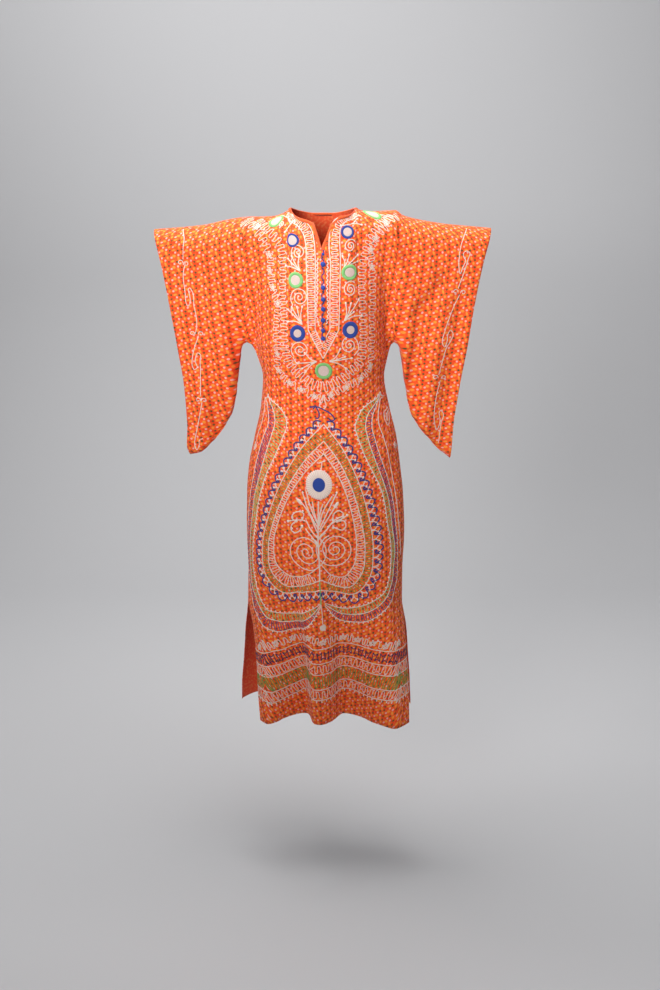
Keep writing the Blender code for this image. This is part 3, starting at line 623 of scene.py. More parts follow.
WINGS = {
    "inner": (
        ((-130, -416), (-104, -427), (-86, -448), (-82, -470), (-91, -497), (-109, -540),
         (-131, -588), (-149, -650), (-161, -726), (-167, -802), (-155, -878), (-144, -903),
         (-132, -919), (-112, -923), (-77, -923), (-40, -911), (-6, -890)),
        ((135, -412), (114, -417), (87, -435), (77, -453), (71, -473), (77, -494), (93, -538),
         (115, -584), (129, -613), (141, -656), (147, -699), (153, -729), (158, -795),
         (153, -843), (142, -871), (130, -881), (107, -894), (76, -904), (40, -906), (3, -890)),
    ),
    "middle": (
        ((-131, -416), (-116, -432), (-109, -462), (-117, -495), (-129, -532), (-146, -590),
         (-161, -650), (-170, -726), (-174, -800), (-163, -884), (-152, -912), (-134, -938),
         (-112, -944), (-77, -945), (-40, -929), (-6, -893)),
        ((136, -412), (117, -425), (100, -447), (95, -470), (102, -505), (117, -550),
         (135, -598), (150, -650), (160, -720), (166, -795), (160, -850), (150, -880),
         (136, -897), (107, -915), (76, -922), (40, -920), (3, -893)),
    ),
    "outer": (
        ((-132, -416), (-126, -434), (-124, -463), (-136, -500), (-146, -532), (-160, -590),
         (-171, -650), (-178, -726), (-180, -800), (-171, -890), (-158, -935), (-140, -962),
         (-118, -971), (-77, -966), (-40, -948), (-6, -897)),
        ((137, -412), (122, -424), (112, -447), (109, -472), (117, -506), (131, -550),
         (147, -598), (160, -650), (169, -720), (174, -795), (170, -860), (160, -895),
         (140, -918), (110, -936), (76, -942), (40, -938), (3, -897)),
    ),
    "rim": (
        ((133, -415), (124, -446), (124, -462), (137, -504), (152, -563), (163, -619),
         (172, -676), (178, -734), (182, -792)),
        ((-133, -417), (-134, -440), (-140, -470), (-150, -500), (-160, -540)),
    ),
    "leaf": (((146, -439), (138, -447), (139, -463), (145, -476), (151, -467), (149, -448),
              (146, -439)), ((146, -447), (143, -458), (145, -468), (147, -458), (146, -447))),
    "snails": ((-158, -530, 1.5, 9.0, 1.7, 95, 1), (166, -528, 1.5, 9.0, 1.8, 110, -1)),
    "green": 13.5, "blue": 11.5, "thorn_pitch": 11.0, "thorn": 4.2,
}

HEM_BANDS = {
    "lines": (-1005, -1042, -1070, -1109, -1136),
    "drift_x": (-170, -153, -124, -96, -67, -37, -26, -9, 20, 34, 62, 91, 120, 164, 194),
    "drift_top": (-26, -24, -18, -12, -1, 11, 0, 0, 2, 5, 5, 1, -6, -11, -12),
    "drift_low": (-4, -4, -15, -11, -3, 13, 0, 0, 1, 8, 10, 4, 0, 3, 7),
    "flowers": ((-154, -1017), (-115, -1004), (-74, -990), (-38, -977), (-1, -988), (46, -984),
                (81, -988), (116, -994), (147, -1001), (179, -1000)),
    "flower": (8.0, 8.5, 15.0),  # radius, and half and period of the loops between
    "coils": (-1023.5, 18.5, 13.5),  # z, period, half width
    "loops": ((-1056, 14.5, 9.5), (-1122.5, 14.5, 9.5)),
    "swing": (-1089.5, 13.0, 14.0),
    "thorns": (-1138, 13.0, 4.2),
}

# Each sleeve's line over the arm: runs, hooks and double curls, from the shoulder to the cuff
SLEEVE_LINES = {
    "left": (
        ((-307, -45), (-304, -68), (-307, -93), (-309, -109)),
        ((-304, -120), (-307, -130), (-309, -154), (-307, -172), (-306, -191), (-305, -204),
         (-301, -211), (-297, -205), (-297, -185), (-299, -174), (-296, -171), (-291, -178),
         (-288, -211), (-284, -236), (-285, -262), (-289, -275)),
        ((-281, -277), (-285, -289), (-290, -302), (-294, -317), (-297, -333), (-297, -346),
         (-293, -354), (-286, -349), (-289, -339), (-288, -323), (-283, -316), (-278, -320),
         (-279, -333), (-279, -355), (-280, -387), (-281, -415)),
        ((-278, -430), (-281, -444), (-288, -477), (-297, -515), (-299, -530), (-294, -542),
         (-288, -530), (-286, -518), (-279, -515)),
    ),
    "right": (
        ((315, -44), (308, -60), (302, -78), (299, -100), (299, -128), (302, -140), (308, -125),
         (313, -111), (308, -102), (308, -96), (314, -91), (321, -94), (318, -111), (309, -142),
         (299, -172)),
        ((303, -186), (292, -210), (279, -245), (273, -265), (269, -297), (273, -302),
         (279, -287), (280, -273), (285, -265), (292, -273), (288, -287), (278, -304),
         (270, -333), (262, -365)),
        ((266, -379), (259, -408), (256, -430), (257, -482), (262, -496), (268, -483),
         (268, -464), (266, -455), (270, -449), (276, -457), (272, -479), (267, -528)),
    ),
}
SLEEVE_CURLS = (
    (-315, -116, 6.0, -15, -1), (-302, -119, 6.0, 195, 1), (-295, -272, 5.5, -15, -1),
    (-275, -273, 5.5, 195, 1), (-287, -424, 6.0, -15, -1), (-273, -425, 6.0, 195, 1),
    (293, -179, 6.0, -15, -1), (311, -181, 6.0, 195, 1), (254, -371, 6.0, -15, -1),
    (274, -373, 6.0, 195, 1),
)

ROUNDS = (  # name, x, z, half width, half height, width and colour of its ring
    ("shoulder_left", -101.0, -27.0, 14.5, 21.0, 5.5, "green"),
    ("shoulder_right", 106.0, -12.5, 15.0, 22.0, 5.5, "green"),
    ("collar_left", -66.5, -67.0, 16.5, 15.0, 5.0, "blue"),
    ("collar_right", 53.0, -50.0, 15.0, 15.5, 5.5, "blue"),
    ("chest_left", -59.5, -150.0, 17.2, 17.8, 7.0, "green"),
    ("chest_right", 58.0, -134.0, 18.0, 17.2, 7.2, "green"),
    ("bust_left", -55.5, -263.0, 17.0, 18.0, 8.8, "blue"),
    ("bust_right", 59.5, -256.0, 17.2, 18.4, 9.2, "blue"),
    ("point", 1.0, -345.0, 19.0, 19.0, 6.8, "green"),
)
ROUND = {"high": 0.0022, "low": 0.0010, "spoke": 0.0021, "coil": 0.0026, "ridge": 0.0007}
RAGGED = 0.022  # how far each straight stitch of a round stands out, as a share of its radius
EYE = {"x": -10.0, "z": -602.0, "radius_x": 0.0300, "radius_z": 0.0345, "blue": 0.47,
       "high": 0.0022, "spokes": 38}
KNOTS = {
    "z": (-97.0, -118.0, -166.0, -190.0, -210.0, -233.5, -255.5, -272.5),
    "radius": (0.0032, 0.0056, 0.0051, 0.0050, 0.0049, 0.0051, 0.0046, 0.0050),
    "flat": 0.62, "lift": 0.0024, "winds": 5,
}


def run_of(line):
    return np.concatenate([[0.0], np.cumsum(np.linalg.norm(np.diff(line, axis=0), axis=1))])


def at_runs(line, at, values=None):
    """A line's places, or other values along it, at these running lengths."""
    values = line if values is None else values
    return np.stack([np.interp(at, run_of(line), values[:, k]) for k in (0, 1)], -1)


def evenly(line, step=THREAD["step"]):
    length = run_of(line)[-1]
    return at_runs(line, np.linspace(0.0, length, max(int(round(length / step)), 1) + 1))


def smooth(points, step=THREAD["step"]):
    """A soft line through these points."""
    points = np.asarray(points, float)
    runs = run_of(points)
    tangents = np.gradient(points, runs, axis=0)
    fine = np.linspace(0.0, runs[-1], max(int(2 * runs[-1] / step), 2))
    i = np.clip(np.searchsorted(runs, fine, side="right") - 1, 0, len(points) - 2)
    gap = (runs[i + 1] - runs[i])[:, None]
    q = (fine[:, None] - runs[i][:, None]) / gap
    line = (points[i] * (1 + 2 * q) * (1 - q) ** 2 + points[i + 1] * q * q * (3 - 2 * q)
            + gap * (tangents[i] * q * (1 - q) ** 2 - tangents[i + 1] * q * q * (1 - q)))
    return evenly(line, step)


def sideways(line):
    """Unit vectors to the left of the line's travel."""
    way = np.gradient(line, axis=0)
    way /= np.linalg.norm(way, axis=1)[:, None]
    return np.stack([-way[:, 1], way[:, 0]], -1)


def serpentine(line, half, period, start=0.0):
    """A thread that swings from side to side along a line, in round loops."""
    line = evenly(line)
    length = run_of(line)[-1]
    turns = max(round(length / period), 1)
    at = np.linspace(0.0, length, 18 * turns + 1)
    phase = 2 * np.pi * turns * at / length + start
    swing = np.sign(np.sin(phase)) * np.abs(np.sin(phase)) ** 0.7
    moved = np.clip(at - 0.06 * period * np.sin(2 * phase), 0.0, length)
    half = half(at / length) if callable(half) else half
    side = at_runs(line, moved, sideways(line))
    return evenly(at_runs(line, moved) + (swing * half)[:, None] * side)


def coils(line, half, period):
    """A thread that doubles back on itself in tall S shapes along a line."""
    line = evenly(line)
    length = run_of(line)[-1]
    turns = max(round(length / period), 1)
    at = np.linspace(0.0, length, 36 * turns + 1)
    phase = 2 * np.pi * turns * at / length
    swing = 0.68 * np.sin(phase) + 0.32 * np.sin(3 * phase)
    moved = np.clip(at - 0.20 * period * np.sin(2 * phase), 0.0, length)
    side = at_runs(line, moved, sideways(line))
    return evenly(at_runs(line, moved) + (swing * half)[:, None] * side)


def spiral(centre, first, last, turns, end, hand):
    """From its outer end, at the angle named, in to the middle."""
    share = np.linspace(1.0, 0.0, int(40 * turns))
    radius = first + (last - first) * share**1.25
    angle = math.radians(end) + hand * 2 * np.pi * turns * (1 - share) * -1
    ring = np.stack([np.cos(angle), np.sin(angle)], -1) * radius[:, None]
    return evenly(np.asarray(centre, float) + ring)


def flower(centre, radius, petals=5, turn=0.3):
    angle = np.linspace(0.0, 2 * np.pi, 16 * petals + 1)
    size = radius * (0.62 + 0.38 * np.cos(petals * (angle - turn)))
    return evenly(centre + np.stack([np.cos(angle), np.sin(angle)], -1) * size[:, None], 0.0011)


def drift(x, z):
    """How far a hem band stands above a level line, in millimetres."""
    lines = HEM_BANDS["lines"]
    share = (lines[0] - z) / (lines[0] - lines[-1])
    top, low = (np.interp(x, HEM_BANDS["drift_x"], HEM_BANDS[key])
                for key in ("drift_top", "drift_low"))
    return top + share * (low - top)


def nearest_run(line, place):
    return run_of(line)[np.argmin(np.linalg.norm(line - place, axis=1))]


class Ground:
    """The front's printed side, and how a place seen from the front or on the flat cut lies on it."""

    def __init__(self, panel):
        self.panel, self.up = panel, panel.normals()
        self.triangles = np.concatenate([panel.faces[:, [0, 1, 2]], panel.faces[:, [0, 2, 3]]])
        faces = self.triangles.tolist()
        self.cut = np.concatenate([panel.flat, np.zeros((len(panel.flat), 1))], axis=1)
        self.cloth_tree = BVHTree.FromPolygons(panel.points.tolist(), faces)
        self.cut_tree = BVHTree.FromPolygons(self.cut.tolist(), faces)

    def shares(self, corners, places):
        """Each place's shares of its triangle's three corners."""
        a, b, c = corners[:, 0], corners[:, 1], corners[:, 2]
        ab, ac, ap = b - a, c - a, places - a
        d00, d01, d11 = (np.sum(p * q, axis=1) for p, q in ((ab, ab), (ab, ac), (ac, ac)))
        d20, d21 = np.sum(ap * ab, axis=1), np.sum(ap * ac, axis=1)
        size = np.maximum(d00 * d11 - d01 * d01, 1e-18)
        v, w = (d11 * d20 - d01 * d21) / size, (d00 * d21 - d01 * d20) / size
        return np.clip(np.stack([1 - v - w, v, w], -1), -0.2, 1.2)

    def flat(self, places):
        """Places (x, z) in millimetres, seen from the front, as (u, v) in metres on the cut."""
        found, picked = [], []
        for x, z in places:
            start = Vector((x / 1000, -1.0, z / 1000))
            hit, _, number, _ = self.cloth_tree.ray_cast(start, Vector((0.0, 1.0, 0.0)))
            if hit is None:
                hit, _, number, _ = self.cloth_tree.find_nearest(start + Vector((0.0, 0.9, 0.0)))
            found.append(hit)
            picked.append(self.triangles[number])
        shares = self.shares(self.panel.points[np.array(picked)], np.array(found))
        return np.einsum("ij,ijk->ik", shares, self.panel.flat[np.array(picked)])

    def line(self, places):
        return smooth(self.flat(places))

    def lay(self, flat):
        """The points and normals on the cloth of places (u, v) on the cut."""
        picked = np.empty((len(flat), 3), int)
        found = np.empty((len(flat), 3))
        for i, (u, v) in enumerate(flat):
            hit, _, number, _ = self.cut_tree.find_nearest(Vector((u, v, 0.0)))
            found[i], picked[i] = hit, self.triangles[number]
        shares = self.shares(self.cut[picked], found)
        points = np.einsum("ij,ijk->ik", shares, self.panel.points[picked])
        up = np.einsum("ij,ijk->ik", shares, self.up[picked])
        return points, up / np.linalg.norm(up, axis=1)[:, None]

    def level(self, z):
        """The line across the skirt near one height, from left to right, as the bands run."""
        ends = []
        for side in ("left", "right"):
            grid = self.panel.grids[side][1]
            line = []
            for column in grid[:, :-1].T:
                x, _, heights = self.panel.points[column].T
                at = z / 1000 + drift(1000 * np.interp(-z / 1000, -heights, x), z) / 1000
                line.append([np.interp(-at, -heights, self.panel.flat[column, k]) for k in (0, 1)])
            ends.append(np.array(line))
        return evenly(np.concatenate([ends[0][::-1], ends[1][1:]]))


class Needle:
    """Gathers the threads by name: long lines, and single stitches."""

    def __init__(self, ground):
        self.ground, self.lines, self.bars = ground, {}, {}

    def sew(self, name, line, width=THREAD["width"], lift=-THREAD["sunk"]):
        self.lines.setdefault(name, []).append((line, width, lift))

    def bar(self, name, a, b, width):
        """One fat stitch between two places on the cut."""
        self.bars.setdefault(name, []).append((a, b, width))

    def dot(self, name, place, size):
        self.bar(name, place - (0.0, 0.3 * size), place + (0.0, 0.3 * size), size)


def sew_yoke(needle):
    ground = needle.ground
    for places in LADDERS["lines"]:
        needle.sew("white yoke", ground.line(places))
    for places, half, period in LADDERS["swings"]:
        line = ground.line(places)
        needle.sew("white yoke", serpentine(line, half / 1000, period / 1000), THREAD["thin"])
    for places in LADDERS["edges"]:
        needle.sew("white yoke", serpentine(ground.line(places), 0.0013, 0.009))
    cord = ground.line(LADDERS["cord"])
    needle.sew("violet yoke", serpentine(cord, 0.0022, 0.021), lift=0.0021)
    for x, z, *shape in SNAILS:
        first, last, turns, end, hand = shape
        centre = ground.flat([(x, z)])[0]
        needle.sew("white yoke", spiral(centre, first / 1000, last / 1000, turns, end, hand))
    for places in SNAIL_TAILS:
        needle.sew("white yoke", ground.line(places))
    for base, prongs in SPRIGS:
        sew_sprig(needle, "white yoke", ground.flat([base])[0], ground.flat(prongs))
    needle.sew("white yoke", ground.line(TEAR))


def sew_sprig(needle, name, base, tips):
    """Prongs that bend out from one base, each with a fat stitch at its tip."""
    middle = np.mean(tips, axis=0)
    for tip in tips:
        bend = 0.5 * (base + tip) + 0.16 * (middle - tip)
        line = smooth([base, bend, tip])
        needle.sew(name, line)
        way = line[-1] - line[-3]
        needle.bar(name, tip - 0.7 * way, tip + 1.0 * way, 0.0050)


def sew_bands(needle):
    ground, band = needle.ground, WAVE_BAND
    line = ground.line(band["line"])
    swell = (band["half_low"] - band["half"]) / 1000

    def half(share):
        return band["half"] / 1000 + swell * np.exp(-((share - 0.5) / 0.16) ** 2)

    needle.sew("white yoke", serpentine(line, half, band["period"] / 1000), THREAD["thin"])
    band = FLOWER_BAND
    line = ground.line(band["line"])
    radius = band["radius"] / 1000
    stops = [0.0]
    for place in ground.flat(band["flowers"]):
        needle.sew("white yoke", flower(place, radius), THREAD["thin"])
        needle.sew("white yoke", flower(place, 0.45 * radius, 4), THREAD["thin"])
        run = nearest_run(line, place)
        stops += [run - 0.8 * radius, run + 0.8 * radius]
    stops.append(run_of(line)[-1])
    for a, b in zip(stops[::2], stops[1::2]):
        if b - a > 0.006:
            piece = at_runs(line, np.linspace(a, b, 60))
            swing = serpentine(piece, band["half"] / 1000, band["period"] / 1000)
            needle.sew("white yoke", swing, THREAD["thin"])


def ogee_half(size, side):
    top, low, left, right, notch = OGEES[size]
    half = -left if side == "left" else right
    down = np.array(OGEE_DOWN + (1 - notch / (top - low),))
    middle = OGEE_MIDDLE[0] + (OGEE_MIDDLE[1] - OGEE_MIDDLE[0]) * down
    return np.stack([middle + half * np.array(OGEE_ACROSS), top + (low - top) * down], -1)


def between(line, other):
    """The middle line of two, and half the room between them along it."""
    a = evenly(line, 0.004)
    near = np.argmin(np.linalg.norm(a[:, None] - other[None], axis=2), axis=1)
    near = at_runs(other, np.convolve(np.pad(run_of(other)[near], 3, "edge"), np.ones(7) / 7, "valid"))
    middle = 0.5 * (a + near)
    share = run_of(middle) / run_of(middle)[-1]
    room = 0.5 * np.linalg.norm(a - near, axis=1)
    return evenly(middle), lambda at: np.interp(at, share, room)


def sew_between(needle, name, line, other, period, fill=0.86, trim=0.0):
    middle, room = between(line, other)
    length = run_of(middle)[-1]
    middle = at_runs(middle, np.linspace(trim * length, (1 - trim) * length, len(middle)))
    swing = serpentine(middle, lambda at: fill * room(trim + at * (1 - 2 * trim)), period)
    needle.sew(name, swing, THREAD["thin"])


def sew_ogees(needle):
    for side in ("left", "right"):
        lines = {size: needle.ground.line(ogee_half(size, side)) for size in OGEES}
        for size in ("outer", "middle", "inner"):
            needle.sew("white skirt", lines[size])
        sew_between(needle, "olive skirt", lines["outer"], lines["middle"], 0.0115, trim=0.015)
        sew_between(needle, "white skirt", lines["middle"], lines["inner"], 0.0122, trim=0.015)
        sew_scallops(needle, lines["outer"], side)
    for places in HOOKS:
        needle.sew("violet skirt", needle.ground.line(places), 0.0032)


def sew_scallops(needle, edge, half):
    """C-shaped loops with curled ends outside an edge, and a forked sprig inside each."""
    hand = -1 if half == "left" else 1
    side = sideways(edge) * hand
    line = evenly(edge + side * SCALLOP["off"] / 1000)
    side = sideways(line) * hand
    length = run_of(line)[-1]
    count = round(length / (SCALLOP["pitch"] / 1000))
    stops = np.linspace(0.0, length - 0.003, count + 1)
    curl = SCALLOP["curl"] / 1000
    for a, b in zip(stops[:-1], stops[1:]):
        out = np.interp(0.5 * (a + b) / length, SCALLOP["at"], SCALLOP["out"][half]) / 1000
        share = np.linspace(0.0, 1.0, 25)
        at = a + (b - a) * share
        up = at_runs(line, at, side)
        arc = at_runs(line, at) + up * (out * np.sin(np.pi * share) ** 0.8)[:, None]
        way = (arc[-1] - arc[0]) / np.linalg.norm(arc[-1] - arc[0])
        tail = arc[-1] + curl * (np.array([[-0.3], [-1.0], [-1.0]]) * way
                                 + np.array([[-0.45], [-0.45], [0.2]]) * up[-1])
        needle.sew("violet skirt", smooth(np.concatenate([arc[::4], tail])), 0.0036)
        needle.dot("violet skirt", tail[-1], 0.0052)
        root = edge[np.argmin(np.linalg.norm(edge - at_runs(line, [0.5 * (a + b)]), axis=1))]
        for lean in (-0.5, 0.5):
            tip = root + out * (up[12] + lean * way)
            bend = root + out * (0.5 * up[12] + 0.12 * lean * way)
            needle.sew("white skirt", smooth([root, bend, tip]))
            needle.dot("white skirt", tip, 0.0062)


def sew_plume(needle):
    ground = needle.ground
    for places in PLUME["fronds"] + PLUME["curls"] + PLUME["snail_stems"]:
        needle.sew("white skirt", ground.line(places), 0.0029)
    needle.sew("white skirt", ground.line(PLUME["stem"]), 0.0034)
    needle.sew("green skirt", ground.line(PLUME["stem_green"]), 0.0034)
    needle.sew("white skirt", ground.line(PLUME["stem_low"]))
    needle.sew("white skirt", ground.line(PLUME["sprout"]))
    for tip in PLUME["sprout_tips"]:
        a, b = ground.flat([PLUME["sprout"][-1], tip])
        needle.bar("white skirt", a, b, 0.003)
    for x, z, size in PLUME["dots"]:
        needle.dot("white skirt", ground.flat([(x, z)])[0], size / 1000)
    for x1, z1, x2, z2 in PLUME["leaves"]:
        a, b = ground.flat([(x1, z1), (x2, z2)])
        needle.bar("white skirt", a, b, 0.0085)
    for x, z, first, last, turns, end, hand in PLUME["snails"]:
        centre = ground.flat([(x, z)])[0]
        needle.sew("white skirt", spiral(centre, first / 1000, last / 1000, turns, end, hand))
    x, z, radius = PLUME["pendant"]
    centre = ground.flat([(x, z)])[0]
    needle.sew("white skirt", spiral(centre, 0.0012, radius / 1000, 4, 90, 1), 0.0024)


def sew_thorns(needle, name, line, pitch, size, hand):
    runs = np.arange(pitch, run_of(line)[-1] - pitch, pitch)
    for place, side in zip(at_runs(line, runs), at_runs(line, runs, sideways(line))):
        needle.bar(name, place, place + hand * size * side, 0.0034)


def sew_wings(needle):
    ground = needle.ground
    for number, hand in ((0, -1), (1, 1)):
        lines = [ground.line(WINGS[key][number]) for key in ("inner", "middle", "outer")]
        for line in lines:
            needle.sew("white skirt", line)
        sew_between(needle, "green skirt", lines[0], lines[1], WINGS["green"] / 1000, 0.84, 0.02)
        sew_between(needle, "violet skirt", lines[1], lines[2], WINGS["blue"] / 1000, 0.84, 0.03)
        pitch, size = WINGS["thorn_pitch"] / 1000, WINGS["thorn"] / 1000
        sew_thorns(needle, "white skirt", lines[0], pitch, size, -hand)
        low = lines[2][int(0.72 * len(lines[2])):]
        sew_thorns(needle, "white skirt", low, pitch, size, hand)
    for places in WINGS["rim"] + WINGS["leaf"]:
        needle.sew("white skirt", ground.line(places))
    for x, z, first, last, turns, end, hand in WINGS["snails"]:
        centre = ground.flat([(x, z)])[0]
        needle.sew("white skirt", spiral(centre, first / 1000, last / 1000, turns, end, hand))


def sew_hem(needle):
    level, bands = needle.ground.level, HEM_BANDS
    for z in bands["lines"]:
        needle.sew("white hem", level(z))
    z, period, half = bands["coils"]
    needle.sew("purple hem", coils(level(z), half / 1000, period / 1000))
    z, period, half = bands["swing"]
    needle.sew("olive hem", serpentine(level(z), half / 1000, period / 1000))
    for z, period, half in bands["loops"]:
        swing = serpentine(level(z), half / 1000, period / 1000)
        needle.sew("white hem", swing, THREAD["thin"])
    z, pitch, size = bands["thorns"]
    sew_thorns(needle, "white hem", level(z), pitch / 1000, size / 1000, -1)
    radius, half, period = (size / 1000 for size in bands["flower"])
    places = needle.ground.flat(bands["flowers"])
    for place in places:
        needle.sew("white hem", flower(place, radius))
    for a, b in zip(places[:-1], places[1:]):
        gap = 0.8 * radius * (b - a) / np.linalg.norm(b - a)
        needle.sew("white hem", serpentine(np.array([a + gap, b - gap]), half, period))


def sew_sleeves(needle):
    for lines in SLEEVE_LINES.values():
        for places in lines:
            needle.sew("white yoke", needle.ground.line(places), 0.0020)
    for x, z, radius, end, hand in SLEEVE_CURLS:
        centre = needle.ground.flat([(x, z)])[0]
        needle.sew("white yoke", spiral(centre, 0.0022, radius / 1000, 1.0, end, hand), 0.0020)


class Tree:
    """A short way to build a Geometry Nodes tree with named inputs."""

    def __init__(self, name, sizes):
        self.tree = bpy.data.node_groups.new(name, "GeometryNodeTree")
        face = self.tree.interface
        face.new_socket("Geometry", in_out="INPUT", socket_type="NodeSocketGeometry")
        for size in sizes:
            face.new_socket(size, in_out="INPUT", socket_type="NodeSocketFloat")
        face.new_socket("Thread", in_out="INPUT", socket_type="NodeSocketMaterial")
        face.new_socket("Geometry", in_out="OUTPUT", socket_type="NodeSocketGeometry")
        self.inputs = self.tree.nodes.new("NodeGroupInput").outputs

    def node(self, kind, inputs=None, **settings):
        made = self.tree.nodes.new(kind)
        for key, value in settings.items():
            setattr(made, key, value)
        for key, value in (inputs or {}).items():
            if isinstance(value, bpy.types.NodeSocket):
                self.tree.links.new(value, made.inputs[key])
            else:
                made.inputs[key].default_value = value
        return made

    def read(self, name, kind="FLOAT"):
        return self.node("GeometryNodeInputNamedAttribute", {"Name": name}, data_type=kind).outputs[0]

    def math(self, operation, a, b):
        return self.node("ShaderNodeMath", {0: a, 1: b}, operation=operation).outputs[0]

    def end(self, geometry):
        smoothed = self.node("GeometryNodeSetShadeSmooth", {"Geometry": geometry}).outputs[0]
        real = self.node("GeometryNodeRealizeInstances", {"Geometry": smoothed}).outputs[0]
        finished = self.node("GeometryNodeSetMaterial",
                             {"Geometry": real, "Material": self.inputs["Thread"]}).outputs[0]
        output = self.tree.nodes.new("NodeGroupOutput")
        self.tree.links.new(finished, output.inputs["Geometry"])
        return self.tree


def chain_stitch_tree():
    """Turns each run of edges into a raised thread."""
    tree = Tree("chain stitch", ("Width", "Height"))
    curve = tree.node("GeometryNodeMeshToCurve", {"Mesh": tree.inputs["Geometry"]}).outputs[0]
    curve = tree.node("GeometryNodeSetCurveNormal",
                      {"Curve": curve, "Normal": tree.read("up", "FLOAT_VECTOR")},
                      mode="FREE").outputs[0]
    # The running length, along which the thread's material paints shade between the links.
    run = tree.node("GeometryNodeSplineParameter").outputs["Length"]
    curve = tree.node("GeometryNodeStoreNamedAttribute",
                      {"Geometry": curve, "Name": "run", "Value": run}).outputs[0]
    arc = tree.node("GeometryNodeCurveArc", {
        "Resolution": 5, "Radius": 1.0, "Start Angle": math.radians(-100),
        "Sweep Angle": math.radians(200)}).outputs["Curve"]
    across = tree.node("GeometryNodeSplineParameter").outputs["Factor"]
    arc = tree.node("GeometryNodeStoreNamedAttribute",
                    {"Geometry": arc, "Name": "across", "Value": across}).outputs[0]
    half = tree.math("MULTIPLY", tree.inputs["Width"], 0.5)
    size = tree.node("ShaderNodeCombineXYZ",
                     {"X": tree.inputs["Height"], "Y": half, "Z": 1.0}).outputs[0]
    arc = tree.node("GeometryNodeTransform", {"Geometry": arc, "Scale": size}).outputs[0]
    thread = tree.node("GeometryNodeCurveToMesh", {
        "Curve": curve, "Profile Curve": arc, "Scale": tree.read("size")}).outputs[0]
    return tree.end(thread)


def fat_stitch_tree():
    """Sets one padded stitch at each point, along its way."""
    tree = Tree("fat stitch", ("Height",))
    bead = tree.node("GeometryNodeMeshUVSphere",
                     {"Segments": 6, "Rings": 5, "Radius": 0.5}).outputs[0]
    turn = tree.node("FunctionNodeAxesToRotation", {
        "Primary Axis": tree.read("up", "FLOAT_VECTOR"),
        "Secondary Axis": tree.read("way", "FLOAT_VECTOR")}).outputs[0]
    size = tree.node("ShaderNodeCombineXYZ", {
        "X": tree.read("length"), "Y": tree.read("width"), "Z": tree.inputs["Height"]}).outputs[0]
    beads = tree.node("GeometryNodeInstanceOnPoints", {
        "Points": tree.inputs["Geometry"], "Instance": bead, "Rotation": turn,
        "Scale": size}).outputs[0]
    return tree.end(beads)


def grown(name, points, edges, facts, tree, sizes, thread, slot):
    """The plain mesh that a tree makes from points, their edges and their facts."""
    mesh = bpy.data.meshes.new(name)
    mesh.from_pydata(points.tolist(), edges, [])
    for key, values in facts.items():
        values = np.asarray(values, np.float32)
        if values.ndim == 2:
            layer = mesh.attributes.new(key, "FLOAT_VECTOR", "POINT")
            layer.data.foreach_set("vector", values.reshape(-1))
        else:
            layer = mesh.attributes.new(key, "FLOAT", "POINT")
            layer.data.foreach_set("value", values)
    made = bpy.data.objects.new(name, mesh)
    bpy.context.scene.collection.objects.link(made)
    modifier = made.modifiers.new("stitches", "NODES")
    modifier.node_group = tree
    for item in tree.interface.items_tree:
        if item.item_type == "SOCKET" and item.in_out == "INPUT":
            if item.name in sizes:
                modifier[item.identifier] = sizes[item.name]
            elif item.name == "Thread":
                modifier[item.identifier] = thread
    graph = bpy.context.evaluated_depsgraph_get()
    result = bpy.data.meshes.new_from_object(
        made.evaluated_get(graph), preserve_all_data_layers=True, depsgraph=graph)
    made.modifiers.clear()
    made.data = result
    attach(made, "root")
    return made


def threads(needle, name, tree, thread, slot):
    """All the long lines gathered under a name, as one piece."""
    points, up, sizes, edges = [], [], [], []
    count = 0
    for line, width, lift in needle.lines[name]:
        at, normal = needle.ground.lay(line)
        points.append(at + lift * normal)
        up.append(normal)
        sizes.append(np.full(len(line), width / THREAD["width"]))
        edges += [(count + i, count + i + 1) for i in range(len(line) - 1)]
        count += len(line)
    facts = {"up": np.concatenate(up), "size": np.concatenate(sizes)}
    sizes = {"Width": THREAD["width"], "Height": THREAD["height"]}
    return grown(name.replace(" ", "_") + "_chain_stitch", np.concatenate(points), edges, facts, tree, sizes,
                 thread, slot)


def fat_stitches(needle, name, tree, thread, slot):
    bars = needle.bars[name]
    start, _ = needle.ground.lay(np.array([bar[0] for bar in bars]))
    end, _ = needle.ground.lay(np.array([bar[1] for bar in bars]))
    middle, up = needle.ground.lay(np.array([0.5 * (bar[0] + bar[1]) for bar in bars]))
    width = np.array([bar[2] for bar in bars])
    facts = {"up": up, "way": end - start, "width": width,
             "length": np.linalg.norm(end - start, axis=1) + 0.6 * width}
    return grown(name.replace(" ", "_") + "_fat_stitches", middle + 0.0002 * up, [], facts, tree,
                 {"Height": 0.0022}, thread, slot)


# Raised pieces: the rounds, the eye and the knots

